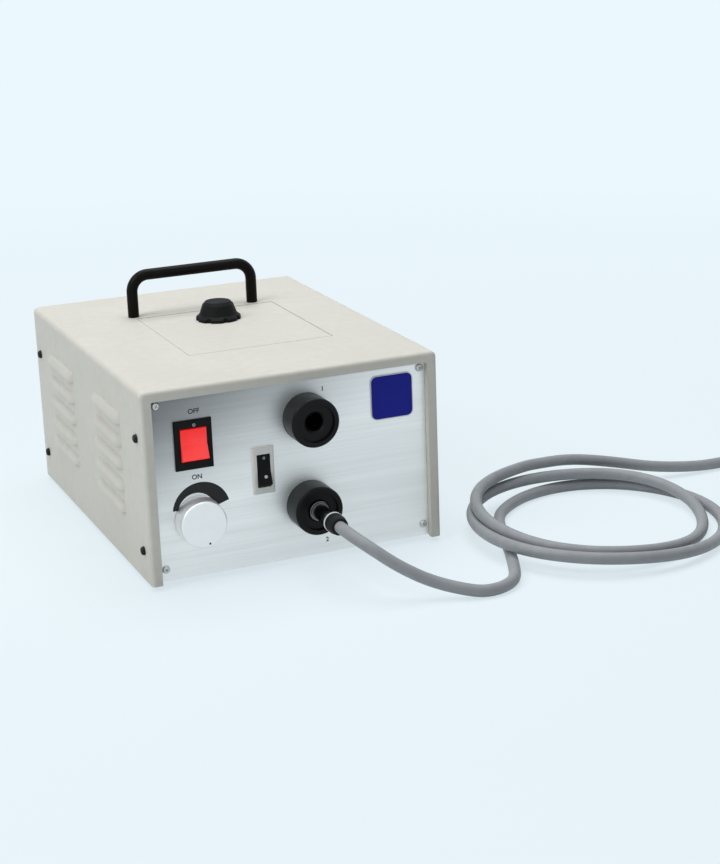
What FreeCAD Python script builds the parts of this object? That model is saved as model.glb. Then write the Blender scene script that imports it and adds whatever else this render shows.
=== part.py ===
import FreeCAD, Part
import math
import os
from types import SimpleNamespace

import Sketcher
from FreeCAD import Placement, Rotation, Vector

# Fiber optic illuminator: a folded steel case with a louvred cover, two lamp ports in an
# aluminium front panel, and one light guide plugged into the lower port and coiled beside it.
#
# Millimetres. Each sub-part is laid out in the frame of the case: X to the right from the
# case's middle, Y backwards from the cover's front edge, Z up from the table. At the end
# everything moves along Y, so that the finished part is centred on its own box.

# Driving sizes

SIZES = {
    # cover and chassis
    "cover_width": 205.0,
    "cover_depth": 270.0,
    "cover_height": 130.0,
    "cover_wall": 1.2,
    "cover_bend": 4.0,
    "edge_bend": 2.5,
    "cut_past": 1.0,
    "rim_width": 7.0,
    "lip_gap": 0.3,
    "foot_stand": 3.0,
    "chassis_wall": 1.5,
    "sheet_gap": 0.3,
    "sheet_lap": 0.5,
    "flange_depth": 16.0,
    "flange_drop": 8.0,
    # louvres
    "louvre_length": 64.0,
    "louvre_pitch": 15.3,
    "louvre_first": 40.0,
    "louvre_bulge": 8.0,
    "louvre_sink": 5.0,
    "louvre_lip": 1.2,
    "louvre_root": 1.8,
    "louvre_front": 50.0,
    "louvre_from_rear": 41.0,
    # front panel
    "panel_recess": 5.0,
    "panel_thick": 2.0,
    "panel_gap": 0.7,
    "panel_screw_inset": 11.0,
    "panel_screw_low": 12.0,
    "panel_screw_high": 122.0,
    "hole_play": 0.1,
    # screws
    "thin_shank": 1.45,
    "pilot_play": 0.05,
    "pass_play": 0.25,
    "side_head": 3.0,
    "side_head_stand": 2.2,
    "side_screw_front": 14.0,
    "side_screw_low": 24.0,
    "side_screw_high": 100.0,
    "side_screw_length": 7.0,
    "panel_screw_length": 7.0,
    "foot_screw_length": 6.0,
    "fan_screw_length": 14.0,
    "inlet_screw_length": 7.0,
    "small_head": 2.75,
    "small_head_stand": 1.6,
    # feet
    "foot_radius": 8.0,
    "foot_height": 4.0,
    "foot_inset": 22.5,
    "foot_front": 25.0,
    "foot_seat": 2.6,
    # handle
    "handle_rod": 4.0,
    "handle_side": 45.5,
    "handle_from_rear": 70.0,
    "handle_stand": 34.0,
    "handle_bend": 12.0,
    "handle_shank": 2.0,
    "handle_screw_head": 3.6,
    "handle_screw_depth": 12.0,
    # hatch and latch
    "hatch_middle": 6.5,
    "hatch_width": 104.0,
    "hatch_front": 74.0,
    "hatch_from_rear": 77.0,
    "hatch_gap": 0.5,
    "hatch_drop": 0.15,
    "hatch_edge_round": 0.59,
    "ledge_reach": 4.0,
    "ledge_grip": 6.0,
    "ledge_gap": 0.1,
    "tongue_width": 18.0,
    "tongue_spread": 30.0,
    "tongue_reach": 6.0,
    "tongue_grip": 9.6,
    "latch_from_rear": 107.0,
    "latch_base": 16.0,
    "latch_rim": 2.0,
    "latch_flare": 2.4,
    "latch_top": 10.0,
    "latch_height": 13.0,
    "latch_stem": 4.1,
    "cam_reach": 36.0,
    "cam_width": 10.0,
    "cam_thick": 2.0,
    "cam_gap": 0.3,
    "latch_gap": 0.1,
    "flute_radius": 2.2,
    "flute_out": 0.77,
    # power switch
    "power_inset": 34.5,
    "power_up": 93.4,
    "power_width": 25.5,
    "power_tall": 33.0,
    "power_rocker_width": 17.6,
    # lamp selector switch
    "selector_side": -21.7,
    "selector_up": 68.6,
    "selector_width": 15.0,
    "selector_tall": 32.0,
    "selector_rocker_width": 9.0,
    # both rocker switches
    "bezel_stand": 2.2,
    "bezel_round": 1.2,
    "bezel_lap": 1.25,
    "switch_depth": 20.0,
    "rocker_reach": 11.1,
    "rocker_valley": 3.3,
    "rocker_back": 5.0,
    "rocker_room": 7.6,
    "rocker_tilt": 10.0,
    "rocker_play": 0.15,
    "pivot_depth": 1.2,
    "pivot_pin": 1.0,
    "pivot_length": 1.3,
    "pivot_end_play": 0.2,
    "pin_play": 0.05,
    "blade_length": 8.0,
    "blade_width": 4.8,
    "blade_thick": 0.8,
    # intensity control
    "dial_inset": 35.0,
    "dial_up": 42.3,
    "dial_radius": 16.0,
    "dial_face": 15.5,
    "dial_height": 13.0,
    "dial_skirt": 3.0,
    "dial_lift": 0.4,
    "dial_round": 1.5,
    "dial_recess": 8.5,
    "shaft_radius": 3.0,
    "shaft_reach": 10.0,
    "shaft_play": 0.01,
    "bush_radius": 4.7,
    "bush_stand": 3.5,
    "pot_radius": 12.0,
    "pot_depth": 12.0,
    "nut_radius": 6.5,
    "nut_thick": 2.0,
    # lamp ports
    "port_side": 10.0,
    "port_low": 40.0,
    "port_high": 100.0,
    "port_radius": 16.5,
    "port_stand": 18.0,
    "port_round": 1.5,
    "port_neck": 11.0,
    "port_end": 24.0,
    "port_bore": 6.05,
    "port_chamfer": 1.5,
    "port_dish": 13.0,
    "port_dish_depth": 2.0,
    "port_nut": 15.0,
    "port_nut_thick": 4.0,
    "filter_radius": 9.0,
    "filter_thick": 2.0,
    "filter_room": 3.0,
    # lamps
    "bracket_front": 64.0,
    "bracket_depth": 57.5,
    "bracket_wall": 2.0,
    "bracket_width": 60.0,
    "bracket_top": 128.0,
    "bracket_back_top": 118.0,
    "lamp_radius": 25.0,
    "lamp_depth": 38.0,
    "lamp_wall": 1.5,
    "lamp_neck": 2.0,
    "lamp_neck_reach": 3.0,
    "lamp_window": 23.5,
    "capsule_radius": 4.5,
    "capsule_length": 26.0,
    "socket_width": 22.0,
    "socket_tall": 14.0,
    # transformer
    "core_inset": 40.5,
    "core_from_rear": 54.0,
    "core_stack": 45.0,
    "core_leg": 16.0,
    "core_window": 48.0,
    "coil_build": 12.0,
    "coil_play": 0.3,
    "strap_thick": 1.2,
    "strap_width": 30.0,
    "strap_foot": 12.0,
    # control board
    "board_inset_side": 6.5,
    "board_width": 55.0,
    "board_from_rear": 50.0,
    "board_depth": 90.0,
    "board_thick": 1.6,
    "board_lift": 8.0,
    "board_inset": 4.0,
    "component_spread": 11.0,
    "component_first": 18.0,
    "capacitor_radius": 8.0,
    "capacitor_tall": 26.0,
    "small_capacitor": 4.8,
    "relay_half": 7.0,
    "relay_tall": 15.0,
    "choke_radius": 7.0,
    "choke_tall": 8.0,
    "standoff_radius": 2.8,
    "standoff_stub": 1.4,
    "sink_width": 40.0,
    "sink_depth": 18.0,
    "sink_base": 3.0,
    "sink_tall": 28.0,
    "sink_fin": 1.6,
    # fan
    "fan_from_inlet": 78.0,
    "fan_up": 70.0,
    "fan_size": 80.0,
    "fan_depth": 25.0,
    "fan_wall": 2.5,
    "fan_tip_gap": 1.0,
    "fan_hub": 16.0,
    "fan_boss": 5.0,
    "fan_hub_gap": 0.6,
    "fan_axle": 1.5,
    "fan_axle_gap": 0.5,
    "fan_strut": 5.0,
    "fan_strut_thick": 3.0,
    "fan_hole_inset": 4.25,
    "fan_blade_thick": 1.5,
    "fan_blade_root": 50.0,
    "fan_blade_tip": 32.0,
    "guard_thick": 1.2,
    "guard_wire": 2.0,
    "guard_pitch": 8.0,
    "guard_hub": 10.0,
    # mains inlet and fuse
    "inlet_inset": 34.5,
    "inlet_up": 35.0,
    "inlet_flange_width": 50.0,
    "inlet_flange_tall": 28.0,
    "inlet_flange_thick": 2.0,
    "inlet_body_width": 29.0,
    "inlet_body_tall": 21.0,
    "inlet_body_depth": 20.0,
    "inlet_socket_width": 24.6,
    "inlet_socket_tall": 16.8,
    "inlet_socket_depth": 17.0,
    "inlet_screw_spread": 20.0,
    "inlet_pin_length": 11.0,
    "inlet_pin_half": 1.0,
    "inlet_pin_reach": 2.0,
    "inlet_pin_spread": 7.0,
    "inlet_pin_rise": 2.0,
    "fuse_up": 72.0,
    "fuse_barrel": 6.0,
    "fuse_bore": 4.6,
    "fuse_flange": 8.5,
    "fuse_flange_thick": 2.0,
    "fuse_barrel_length": 34.0,
    "fuse_cap_radius": 7.5,
    "fuse_cap_stand": 9.0,
    "fuse_stem_length": 12.0,
    "fuse_play": 0.1,
    "fuse_cap_taper": 0.8,
    "fuse_slot": 0.6,
    "fuse_slot_depth": 1.2,
    # light guide
    "guide_radius": 4.0,
    "plug_radius": 6.0,
    "plug_inside": 33.0,
    "plug_edge": 0.5,
    "plug_body": 8.0,
    "plug_waist": 1.5,
    "plug_step": 1.0,
    "plug_ring": 4.0,
    "plug_stand": 20.0,
    "plug_lift": 0.2,
    "collar_radius": 6.5,
    "collar_length": 14.0,
    "collar_straight": 8.4,
    "collar_taper": 1.3,
    "sleeve_radius": 5.5,
    "sleeve_length": 34.0,
    "ferrule_radius": 4.5,
    "ferrule_length": 22.0,
    # coil of the light guide
    "coil_side": 207.0,
    "coil_back": -32.0,
    "coil_start": 144.0,
    "coil_lift": 8.9,
}

# The light guide's route as (x, y, z): from the plug down to the table and under the ring
LEAD_ROUTE = [
    (10.0, -47.0, 40.0),
    (10.0, -57.0, 40.0),
    (12.7, -67.5, 38.0),
    (20.5, -78.0, 32.0),
    (32.5, -86.5, 22.5),
    (52.0, -94.5, 11.0),
    (76.0, -107.5, 4.6),
    (88.9, -108.9, 4.0),
    (101.1, -104.4, 4.0),
    (110.3, -95.2, 4.0),
    (120.1, -73.3, 4.0),
    (136.2, -31.3, 4.0),
]
# Strand of the ring at each quarter turn: its radius and the layer that it lies in
COIL_RADII = (71.0, 87.0, 86.0, 93.0, 88.0, 83.0, 71.0, 81.0, 86.0)
COIL_LAYERS = (0, 0, 0, 1, 1, 1, 0, 1, 2)
# Last stretch of the ring: part of a quarter turn, radius, layer
COIL_END = (0.6, 89.0, 2)
# The route after the ring, up to the end sleeve
TAIL_ROUTE = [
    (233.0, 56.5, 21.4),
    (262.0, 50.5, 16.5),
    (298.0, 41.5, 8.5),
    (343.0, 37.5, 4.0),
    (388.0, 46.0, 5.5),
    (424.0, 66.0, 5.5),
]

LOUVRE_ROWS = 5
LAMP_STEPS = 5
FAN_BLADES = 7
LATCH_FLUTES = 8
SINK_FINS = 7
GAP_STEP = 3.0
# How narrow a screw's head is at its crown, and how much of a run each bend takes
HEAD_CROWN = 0.8
BEND_SHARE = 0.45


# Sizes that remember the sheet cell they come from

class Size(float):
    """A length that keeps the expression that gives it."""

    def __new__(cls, value, text):
        size = super().__new__(cls, value)
        size.text = text
        return size

    def __add__(self, other):
        return combine(self, "+", other, float(self) + float(other))

    def __radd__(self, other):
        return combine(other, "+", self, float(other) + float(self))

    def __sub__(self, other):
        return combine(self, "-", other, float(self) - float(other))

    def __rsub__(self, other):
        return combine(other, "-", self, float(other) - float(self))

    def __mul__(self, other):
        return combine(self, "*", other, float(self) * float(other))

    def __rmul__(self, other):
        return combine(other, "*", self, float(other) * float(self))

    def __truediv__(self, other):
        return combine(self, "/", other, float(self) / float(other))

    def __neg__(self):
        return Size(-float(self), "(0 - %s)" % self.text)


def text_of(value):
    return value.text if isinstance(value, Size) else "%.6f" % value


def combine(left, sign, right, value):
    return Size(value, "(%s %s %s)" % (text_of(left), sign, text_of(right)))


def tangent(angle):
    return Size(math.tan(math.radians(angle)), "tan(%s * 1 deg)" % angle.text)


def make_sheet(doc):
    """Writes the sizes into the sheet and returns them by name."""
    sheet = doc.addObject("Spreadsheet::Sheet", "Sizes")
    for row, (name, value) in enumerate(SIZES.items(), start=1):
        sheet.set("A%d" % row, name)
        sheet.set("B%d" % row, str(value))
        sheet.setAlias("B%d" % row, name)
    doc.recompute()
    return SimpleNamespace(**{name: Size(sheet.get(name), "Sizes." + name) for name in SIZES})


def add_places(s):
    """Adds the places that follow the case's sides and its rear."""
    side = s.cover_width / 2
    rear = s.cover_depth
    s.louvre_rear = rear - s.louvre_from_rear - s.louvre_length
    s.panel_screw_side = side - s.panel_screw_inset
    s.side_screw_rear = rear - s.side_screw_front
    s.foot_side = side - s.foot_inset
    s.foot_rear = rear - s.foot_front
    s.handle_back = rear - s.handle_from_rear
    s.hatch_rear = rear - s.hatch_from_rear
    s.latch_back = rear - s.latch_from_rear
    s.handle_ends = (-s.handle_side, s.handle_side)
    s.power_side = s.power_inset - side
    s.dial_side = s.dial_inset - side
    s.core_side = s.core_inset - side
    s.core_front = rear - s.core_from_rear - 6 * s.core_leg
    s.board_left = side - s.board_inset_side - s.board_width
    s.board_front = rear - s.board_from_rear - s.board_depth
    s.inlet_side = s.inlet_inset - side
    s.fuse_side = s.inlet_side
    s.fan_side = s.inlet_side + s.fan_from_inlet
    s.fan_bore = s.fan_size / 2 - s.fan_wall
    s.fan_hole_side = s.fan_size / 2 - s.fan_hole_inset


doc = FreeCAD.newDocument("illuminator")
s = make_sheet(doc)
add_places(s)

# Levels that several sub-parts share
COVER_TOP = s.foot_stand + s.cover_height
COVER_HALF = s.cover_width / 2
UNDER_TOP = COVER_TOP - s.cover_wall
CHASSIS_HALF = COVER_HALF - s.cover_wall - s.sheet_gap
CHASSIS_TOP = UNDER_TOP - s.sheet_lap
CHASSIS_FLOOR = s.foot_height + s.chassis_wall
PANEL_BACK = s.panel_recess + s.panel_thick
WALL_BACK = PANEL_BACK + s.chassis_wall
REAR_FACE = s.cover_depth - s.panel_recess
REAR_WALL = REAR_FACE - s.chassis_wall
PORT_FACE = s.panel_recess - s.port_stand
REAR_REACH = REAR_FACE + s.fuse_cap_stand
# Half of the part's own depth lies behind its middle
FRONT_Y = (PORT_FACE + REAR_REACH) / -2

UP = (Vector(1, 0, 0), 0)
DOWN = (Vector(1, 0, 0), 180)
FRONT = (Vector(1, 0, 0), 90)
BACK = (Vector(1, 0, 0), -90)
RIGHT = (Vector(0, 1, 0), 90)
LEFT = (Vector(0, 1, 0), -90)

bases = {}
nodes = []


# Document helpers

def bind(thing, name, value):
    """Sets one property, tied to the sheet where its value comes from there."""
    if isinstance(value, Size):
        thing.setExpression(name, value.text)
    else:
        setattr(thing, name, value)


def bind_base(thing, letter, value):
    if isinstance(value, Size):
        thing.setExpression("Placement.Base." + letter, value.text)


def place(thing, x, y, z, toward=UP):
    """Puts the thing's origin at a point, with its own Z turned toward a side."""
    axis, angle = toward
    thing.Placement = Placement(Vector(float(x), float(y), float(z)), Rotation(axis, angle))
    for letter, value in zip("xyz", (x, y, z)):
        bind_base(thing, letter, value)
    bases[thing.Name] = y
    return thing


def box(x0, x1, y0, y1, z0, z1):
    solid = doc.addObject("Part::Box", "block")
    bind(solid, "Length", x1 - x0)
    bind(solid, "Width", y1 - y0)
    bind(solid, "Height", z1 - z0)
    return place(solid, x0, y0, z0)


def rod(x, y, z, radius, length, toward):
    solid = doc.addObject("Part::Cylinder", "rod")
    bind(solid, "Radius", radius)
    bind(solid, "Height", length)
    return place(solid, x, y, z, toward)


def taper(x, y, z, base, tip, length, toward):
    solid = doc.addObject("Part::Cone", "taper")
    bind(solid, "Radius1", base)
    bind(solid, "Radius2", tip)
    bind(solid, "Height", length)
    return place(solid, x, y, z, toward)


def hexagon(x, y, z, radius, length, toward):
    solid = doc.addObject("Part::Prism", "hexagon")
    solid.Polygon = 6
    bind(solid, "Circumradius", radius)
    bind(solid, "Height", length)
    return place(solid, x, y, z, toward)


def fuse(pieces):
    joined = doc.addObject("Part::MultiFuse", "joined")
    joined.Shapes = pieces
    return joined


def cut(base, tools):
    result = doc.addObject("Part::Cut", "cut")
    result.Base = base
    result.Tool = tools[0] if len(tools) == 1 else fuse(tools)
    return result


def group(pieces):
    compound = doc.addObject("Part::Compound", "set")
    compound.Links = pieces
    return compound


def feature(shape):
    """A shape built in code from the sheet's sizes."""
    made = doc.addObject("Part::Feature", "form")
    made.Shape = shape
    return place(made, 0.0, 0.0, 0.0)


def finish(name, solid):
    """Names a sub-part and moves it from the case's frame to the part's frame."""
    solid.Label = name
    base = bases.get(solid.Name, 0.0)
    bind_base(solid, "y", base + FRONT_Y)
    nodes.append(solid)
    return solid


# PartDesign helpers

def new_body(name):
    return doc.addObject("PartDesign::Body", name)


def sketch(body, plane, loops=(), holes=(), offset=None):
    """A sketch of closed outlines and circles on one of the body's own planes."""
    planes = {item.Role: item for item in body.Origin.OriginFeatures}
    drawn = body.newObject("Sketcher::SketchObject", "outline")
    drawn.AttachmentSupport = (planes[plane], [""])
    drawn.MapMode = "FlatFace"
    if offset is not None:
        drawn.AttachmentOffset = Placement(Vector(0, 0, float(offset)), Rotation())
        if isinstance(offset, Size):
            drawn.setExpression("AttachmentOffset.Base.z", offset.text)
    for corners in loops:
        draw_outline(drawn, corners)
    for x, y, radius in holes:
        ring = drawn.addGeometry(Part.Circle(Vector(x, y, 0), Vector(0, 0, 1), float(radius)))
        fix(drawn, "Radius", radius, ring)
        fix(drawn, "DistanceX", x, -1, 1, ring, 3)
        fix(drawn, "DistanceY", y, -1, 1, ring, 3)
    return drawn


def fix(drawn, kind, value, *where):
    index = drawn.addConstraint(Sketcher.Constraint(kind, *where, float(value)))
    if isinstance(value, Size):
        drawn.setExpression("Constraints[%d]" % index, value.text)


def draw_outline(drawn, corners):
    """Straight sides through the corners, each corner held at its own distances."""
    first = drawn.GeometryCount
    count = len(corners)
    for index, (x, y) in enumerate(corners):
        next_x, next_y = corners[(index + 1) % count]
        drawn.addGeometry(Part.LineSegment(Vector(x, y, 0), Vector(next_x, next_y, 0)))
    for index, (x, y) in enumerate(corners):
        side = first + index
        following = first + (index + 1) % count
        drawn.addConstraint(Sketcher.Constraint("Coincident", side, 2, following, 1))
        fix(drawn, "DistanceX", x, -1, 1, side, 1)
        fix(drawn, "DistanceY", y, -1, 1, side, 1)


def rectangle(x0, x1, y0, y1):
    return [(x0, y0), (x1, y0), (x1, y1), (x0, y1)]


def pad(body, profile, length, reverse=False, both_ways=False):
    made = body.newObject("PartDesign::Pad", "pad")
    made.Profile = profile
    made.Reversed = reverse
    made.Midplane = both_ways
    bind(made, "Length", length)
    return made


def pocket(body, profile, length=None, reverse=False, both_ways=False):
    made = body.newObject("PartDesign::Pocket", "pocket")
    made.Profile = profile
    made.Reversed = reverse
    made.Midplane = both_ways
    if length is None:
        made.Type = "ThroughAll"
    else:
        bind(made, "Length", length)
    return made


def revolve(body, profile):
    made = body.newObject("PartDesign::Revolution", "turned")
    made.Profile = profile
    made.ReferenceAxis = (profile, ["V_Axis"])
    made.Angle = 360
    return made


def edges_where(made, wanted):
    """Names of the edges for which the test holds."""
    doc.recompute()
    found = enumerate(made.Shape.Edges, start=1)
    return ["Edge%d" % number for number, edge in found if wanted(edge)]


def fillet(body, made, wanted, radius):
    names = edges_where(made, wanted)
    rounded = body.newObject("PartDesign::Fillet", "rounding")
    rounded.Base = (made, names)
    bind(rounded, "Radius", radius)
    return rounded


def along(edge, direction):
    """True for a straight edge that runs along the direction."""
    if not isinstance(edge.Curve, Part.Line):
        return False
    return abs(abs(edge.Curve.Direction.dot(direction)) - 1) < 1e-6


def turned(name, corners, x, y, z, toward):
    """A body turned about its own Z from an outline of (radius, height)."""
    body = new_body(name)
    revolve(body, sketch(body, "XZ_Plane", [corners]))
    return place(body, x, y, z, toward)


def ring_at(edge, level):
    """True for a round edge whose circle lies at the level along Z."""
    box_of = edge.BoundBox
    return isinstance(edge.Curve, Part.Circle) and abs(box_of.ZMin - level) < 1e-4 > abs(
        box_of.ZMax - level
    )


def screw(x, y, z, toward, head, stand, shank, length):
    """A pan-head screw that seats at the point and stands out toward a side."""
    crown = taper(x, y, z, head, head * HEAD_CROWN, stand, toward)
    stem = rod(x, y, z, shank, length, (toward[0], toward[1] + 180))
    return fuse([crown, stem])


# Cover

def arch(inset, thickness):
    """The cover's cross-section as a band, set in from the outside."""
    outer = COVER_HALF - inset
    roof = COVER_TOP - inset
    inner = outer - thickness
    ceiling = roof - thickness
    low = s.foot_stand
    return [(-outer, low), (-outer, roof), (outer, roof), (outer, low),
            (inner, low), (inner, ceiling), (-inner, ceiling), (-inner, low)]


def folded(edge):
    """True for one of the two long corners where the cover's sheet is folded."""
    middle = edge.BoundBox.Center
    aside = abs(abs(middle.x) - COVER_HALF)
    above = abs(middle.z - COVER_TOP)
    return along(edge, Vector(0, 1, 0)) and max(aside, above) < 1e-4


def cover_shell():
    """Folded sheet with rims turned in and back at both ends."""
    body = new_body("cover_shell")
    lip_depth = s.panel_recess - s.lip_gap
    pad(body, sketch(body, "XZ_Plane", [arch(0.0, s.cover_wall)]), s.cover_depth, reverse=True)
    flange = arch(0.0, s.rim_width)
    lip = arch(s.rim_width - s.cover_wall, s.cover_wall)
    rear_flange = s.cover_wall - s.cover_depth
    pad(body, sketch(body, "XZ_Plane", [flange]), s.cover_wall, reverse=True)
    pad(body, sketch(body, "XZ_Plane", [flange], offset=rear_flange), s.cover_wall, reverse=True)
    pad(body, sketch(body, "XZ_Plane", [lip]), lip_depth, reverse=True)
    rear_lip = lip_depth - s.cover_depth
    made = pad(body, sketch(body, "XZ_Plane", [lip], offset=rear_lip), lip_depth, reverse=True)

    made = fillet(body, made, folded, s.cover_bend)

    def end_edge(edge):
        outline = edge.BoundBox
        at_end = outline.YLength < 1e-4 and min(
            abs(outline.YMin), abs(outline.YMin - s.cover_depth)) < 1e-4
        far_side = max(abs(outline.XMin), abs(outline.XMax)) > COVER_HALF - 1e-4
        on_top = outline.ZMax > COVER_TOP - 1e-4
        tall = max(outline.XLength, outline.ZLength) > 2 * s.rim_width
        corner = isinstance(edge.Curve, Part.Circle)
        return at_end and (far_side or on_top) and (tall or corner)

    fillet(body, made, end_edge, s.edge_bend)
    hatch_cuts(body)
    return body


def hatch_cuts(body):
    """Hatch opening with its side ledges, and the holes for the screws."""
    half = s.hatch_width / 2
    left = s.hatch_middle - half
    right = s.hatch_middle + half
    opening = rectangle(left, right, s.hatch_front, s.hatch_rear)
    made = pocket(body, sketch(body, "XY_Plane", [opening], offset=COVER_TOP), s.rim_width)

    def front_edge(edge):
        return along(edge, Vector(1, 0, 0)) and abs(edge.BoundBox.YMin - s.hatch_front) < 1e-4

    # The lid tilts round this edge when it is lifted
    fillet(body, made, front_edge, s.hatch_edge_round)
    seat = COVER_TOP - s.hatch_drop - s.cover_wall - s.ledge_gap
    floor = seat - s.cover_wall

    def ledge(edge, side):
        inner = edge - side * s.ledge_reach
        outer = edge + side * s.ledge_grip
        return [(inner, floor), (outer, floor), (outer, UNDER_TOP), (edge, UNDER_TOP),
                (edge, seat), (inner, seat)]

    start = -(s.hatch_front + s.ledge_reach)
    run = s.hatch_rear - s.hatch_front - 2 * s.ledge_reach
    strips = [ledge(left, -1), ledge(right, 1)]
    pad(body, sketch(body, "XZ_Plane", strips, offset=start), run, reverse=True)
    side_hole = s.thin_shank + s.pass_play
    holes = [(y, z, side_hole) for y, z in side_screw_spots()]
    pocket(body, sketch(body, "YZ_Plane", holes=holes), both_ways=True)
    top_hole = s.handle_shank + s.pass_play
    holes = [(x, s.handle_back, top_hole) for x in s.handle_ends]
    pocket(body, sketch(body, "XY_Plane", holes=holes, offset=COVER_TOP), s.rim_width)


def side_screw_spots():
    return [(y, z) for y in (s.side_screw_front, s.side_screw_rear)
            for z in (s.side_screw_low, s.side_screw_high)]


def louvre_spots():
    return [(start, s.louvre_first + row * s.louvre_pitch)
            for start in (s.louvre_front, s.louvre_rear) for row in range(LOUVRE_ROWS)]


def louvre(radius, side, start, up):
    """A capsule sunk in the cover's side wall and kept above its lip."""
    sink = s.louvre_sink
    spread = math.sqrt(s.louvre_bulge ** 2 - sink ** 2)
    middle = side * (COVER_HALF - sink)
    near = Vector(middle, start + spread, up)
    far = Vector(middle, start + s.louvre_length - spread, up)
    tube = Part.makeCylinder(radius, far.y - near.y, near, Vector(0, 1, 0))
    capsule = tube.fuse([Part.makeSphere(radius, near), Part.makeSphere(radius, far)])
    reach = s.cover_width
    keep_x = COVER_HALF - s.louvre_root
    corner_x = keep_x if side > 0 else -keep_x - reach
    keep = Part.makeBox(reach, s.cover_depth, reach, Vector(corner_x, 0, up - s.louvre_lip))
    return capsule.common(keep)


def louvres(radius):
    hoods = [louvre(radius, side, start, up) for side in (-1, 1) for start, up in louvre_spots()]
    return feature(Part.makeCompound(hoods))


def build_cover():
    hoods = louvres(float(s.louvre_bulge))
    trim = box(-COVER_HALF + s.cover_wall, COVER_HALF - s.cover_wall, s.cover_wall,
               s.cover_depth - s.cover_wall, s.foot_stand + s.rim_width,
               UNDER_TOP - s.cover_bend)
    outside = cut(hoods, [trim])
    slots = louvres(s.louvre_bulge - s.cover_wall)
    finish("cover", cut(fuse([cover_shell(), outside]), [slots]))


# Chassis and front panel

def switch_cut(side, up, width, tall):
    """Room in a sheet for a switch's body."""
    half_width = width / 2 - s.bezel_lap + s.hole_play
    half_tall = tall / 2 - s.bezel_lap + s.hole_play
    return box(side - half_width, side + half_width, s.panel_recess - s.cut_past,
               WALL_BACK + s.cut_past, up - half_tall, up + half_tall)


def front_cuts():
    """What passes through both the front panel and the chassis behind it."""
    depth = WALL_BACK - s.panel_recess + 2 * s.cut_past
    start = s.panel_recess - s.cut_past
    tools = [
        switch_cut(s.power_side, s.power_up, s.power_width, s.power_tall),
        switch_cut(s.selector_side, s.selector_up, s.selector_width, s.selector_tall),
        rod(s.dial_side, start, s.dial_up, s.bush_radius + s.hole_play, depth, BACK),
    ]
    for up in (s.port_low, s.port_high):
        tools.append(rod(s.port_side, start, up, s.port_neck + s.hole_play, depth, BACK))
    return tools


def panel_screw_spots():
    return [(side * s.panel_screw_side, up) for side in (-1, 1)
            for up in (s.panel_screw_low, s.panel_screw_high)]


def build_panel():
    half = COVER_HALF - s.cover_wall - s.panel_gap
    plate = box(-half, half, s.panel_recess, PANEL_BACK, s.foot_height, CHASSIS_TOP)
    start = s.panel_recess - s.cut_past
    depth = s.panel_thick + 2 * s.cut_past
    holes = [rod(x, start, z, s.thin_shank + s.pass_play, depth, BACK)
             for x, z in panel_screw_spots()]
    finish("front_panel", cut(plate, front_cuts() + holes))
    screws = [screw(x, s.panel_recess, z, FRONT, s.small_head, s.small_head_stand,
                    s.thin_shank, s.panel_screw_length) for x, z in panel_screw_spots()]
    finish("panel_screws", group(screws))


def build_chassis():
    """One sheet bent up at the front and rear, with flanges for the cover's screws."""
    body = new_body("chassis_tray")
    floor = s.foot_height
    tray = [(PANEL_BACK, floor), (REAR_FACE, floor), (REAR_FACE, CHASSIS_TOP),
            (REAR_WALL, CHASSIS_TOP), (REAR_WALL, CHASSIS_FLOOR), (WALL_BACK, CHASSIS_FLOOR),
            (WALL_BACK, CHASSIS_TOP), (PANEL_BACK, CHASSIS_TOP)]
    width = CHASSIS_HALF * 2
    made = pad(body, sketch(body, "YZ_Plane", [tray]), width, both_ways=True)

    def lower_bend(edge):
        return along(edge, Vector(1, 0, 0)) and abs(edge.BoundBox.ZMax - floor) < 1e-4

    fillet(body, made, lower_bend, s.chassis_wall)
    flanges = []
    for side in (-1, 1):
        outer = side * CHASSIS_HALF
        inner = outer - side * s.chassis_wall
        for start, end in ((WALL_BACK - s.sheet_lap, WALL_BACK + s.flange_depth),
                           (REAR_WALL - s.flange_depth, REAR_WALL + s.sheet_lap)):
            ends = sorted((outer, inner))
            flanges.append(box(ends[0], ends[1], start, end, CHASSIS_FLOOR - s.sheet_lap,
                               CHASSIS_TOP - s.flange_drop))
    tools = front_cuts() + chassis_holes()
    finish("chassis", cut(fuse([body] + flanges), tools))


def chassis_holes():
    """Holes for the screws of the cover, panel, feet, fan, inlet and fuse holder."""
    pilot = s.thin_shank + s.pilot_play
    depth = s.chassis_wall + 2 * s.cut_past
    tools = []
    for x, z in panel_screw_spots():
        tools.append(rod(x, PANEL_BACK - s.cut_past, z, pilot, depth, BACK))
    for side, toward in ((-1, LEFT), (1, RIGHT)):
        start = side * (CHASSIS_HALF - s.chassis_wall - s.cut_past)
        for y, z in side_screw_spots():
            tools.append(rod(start, y, z, pilot, depth, toward))
    for x, y in foot_spots() + strap_spots():
        tools.append(rod(x, y, s.foot_height - s.cut_past, pilot, depth, UP))
    start = REAR_WALL - s.cut_past
    tools.append(rod(s.fan_side, start, s.fan_up, s.fan_bore, depth, BACK))
    for x, z in fan_spots():
        tools.append(rod(x, start, z, s.handle_shank + s.pass_play, depth, BACK))
    tools.append(rod(s.fuse_side, start, s.fuse_up, s.fuse_barrel + s.hole_play, depth, BACK))
    half_width = s.inlet_body_width / 2 + s.hole_play
    half_tall = s.inlet_body_tall / 2 + s.hole_play
    tools.append(box(s.inlet_side - half_width, s.inlet_side + half_width, start, start + depth,
                     s.inlet_up - half_tall, s.inlet_up + half_tall))
    for x in inlet_screw_sides():
        tools.append(rod(x, start, s.inlet_up, pilot, depth, BACK))
    return tools


def build_cover_screws():
    screws = []
    for side, toward in ((-1, LEFT), (1, RIGHT)):
        for y, z in side_screw_spots():
            screws.append(screw(side * COVER_HALF, y, z, toward, s.side_head,
                                s.side_head_stand, s.thin_shank, s.side_screw_length))
    finish("cover_screws", group(screws))


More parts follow.
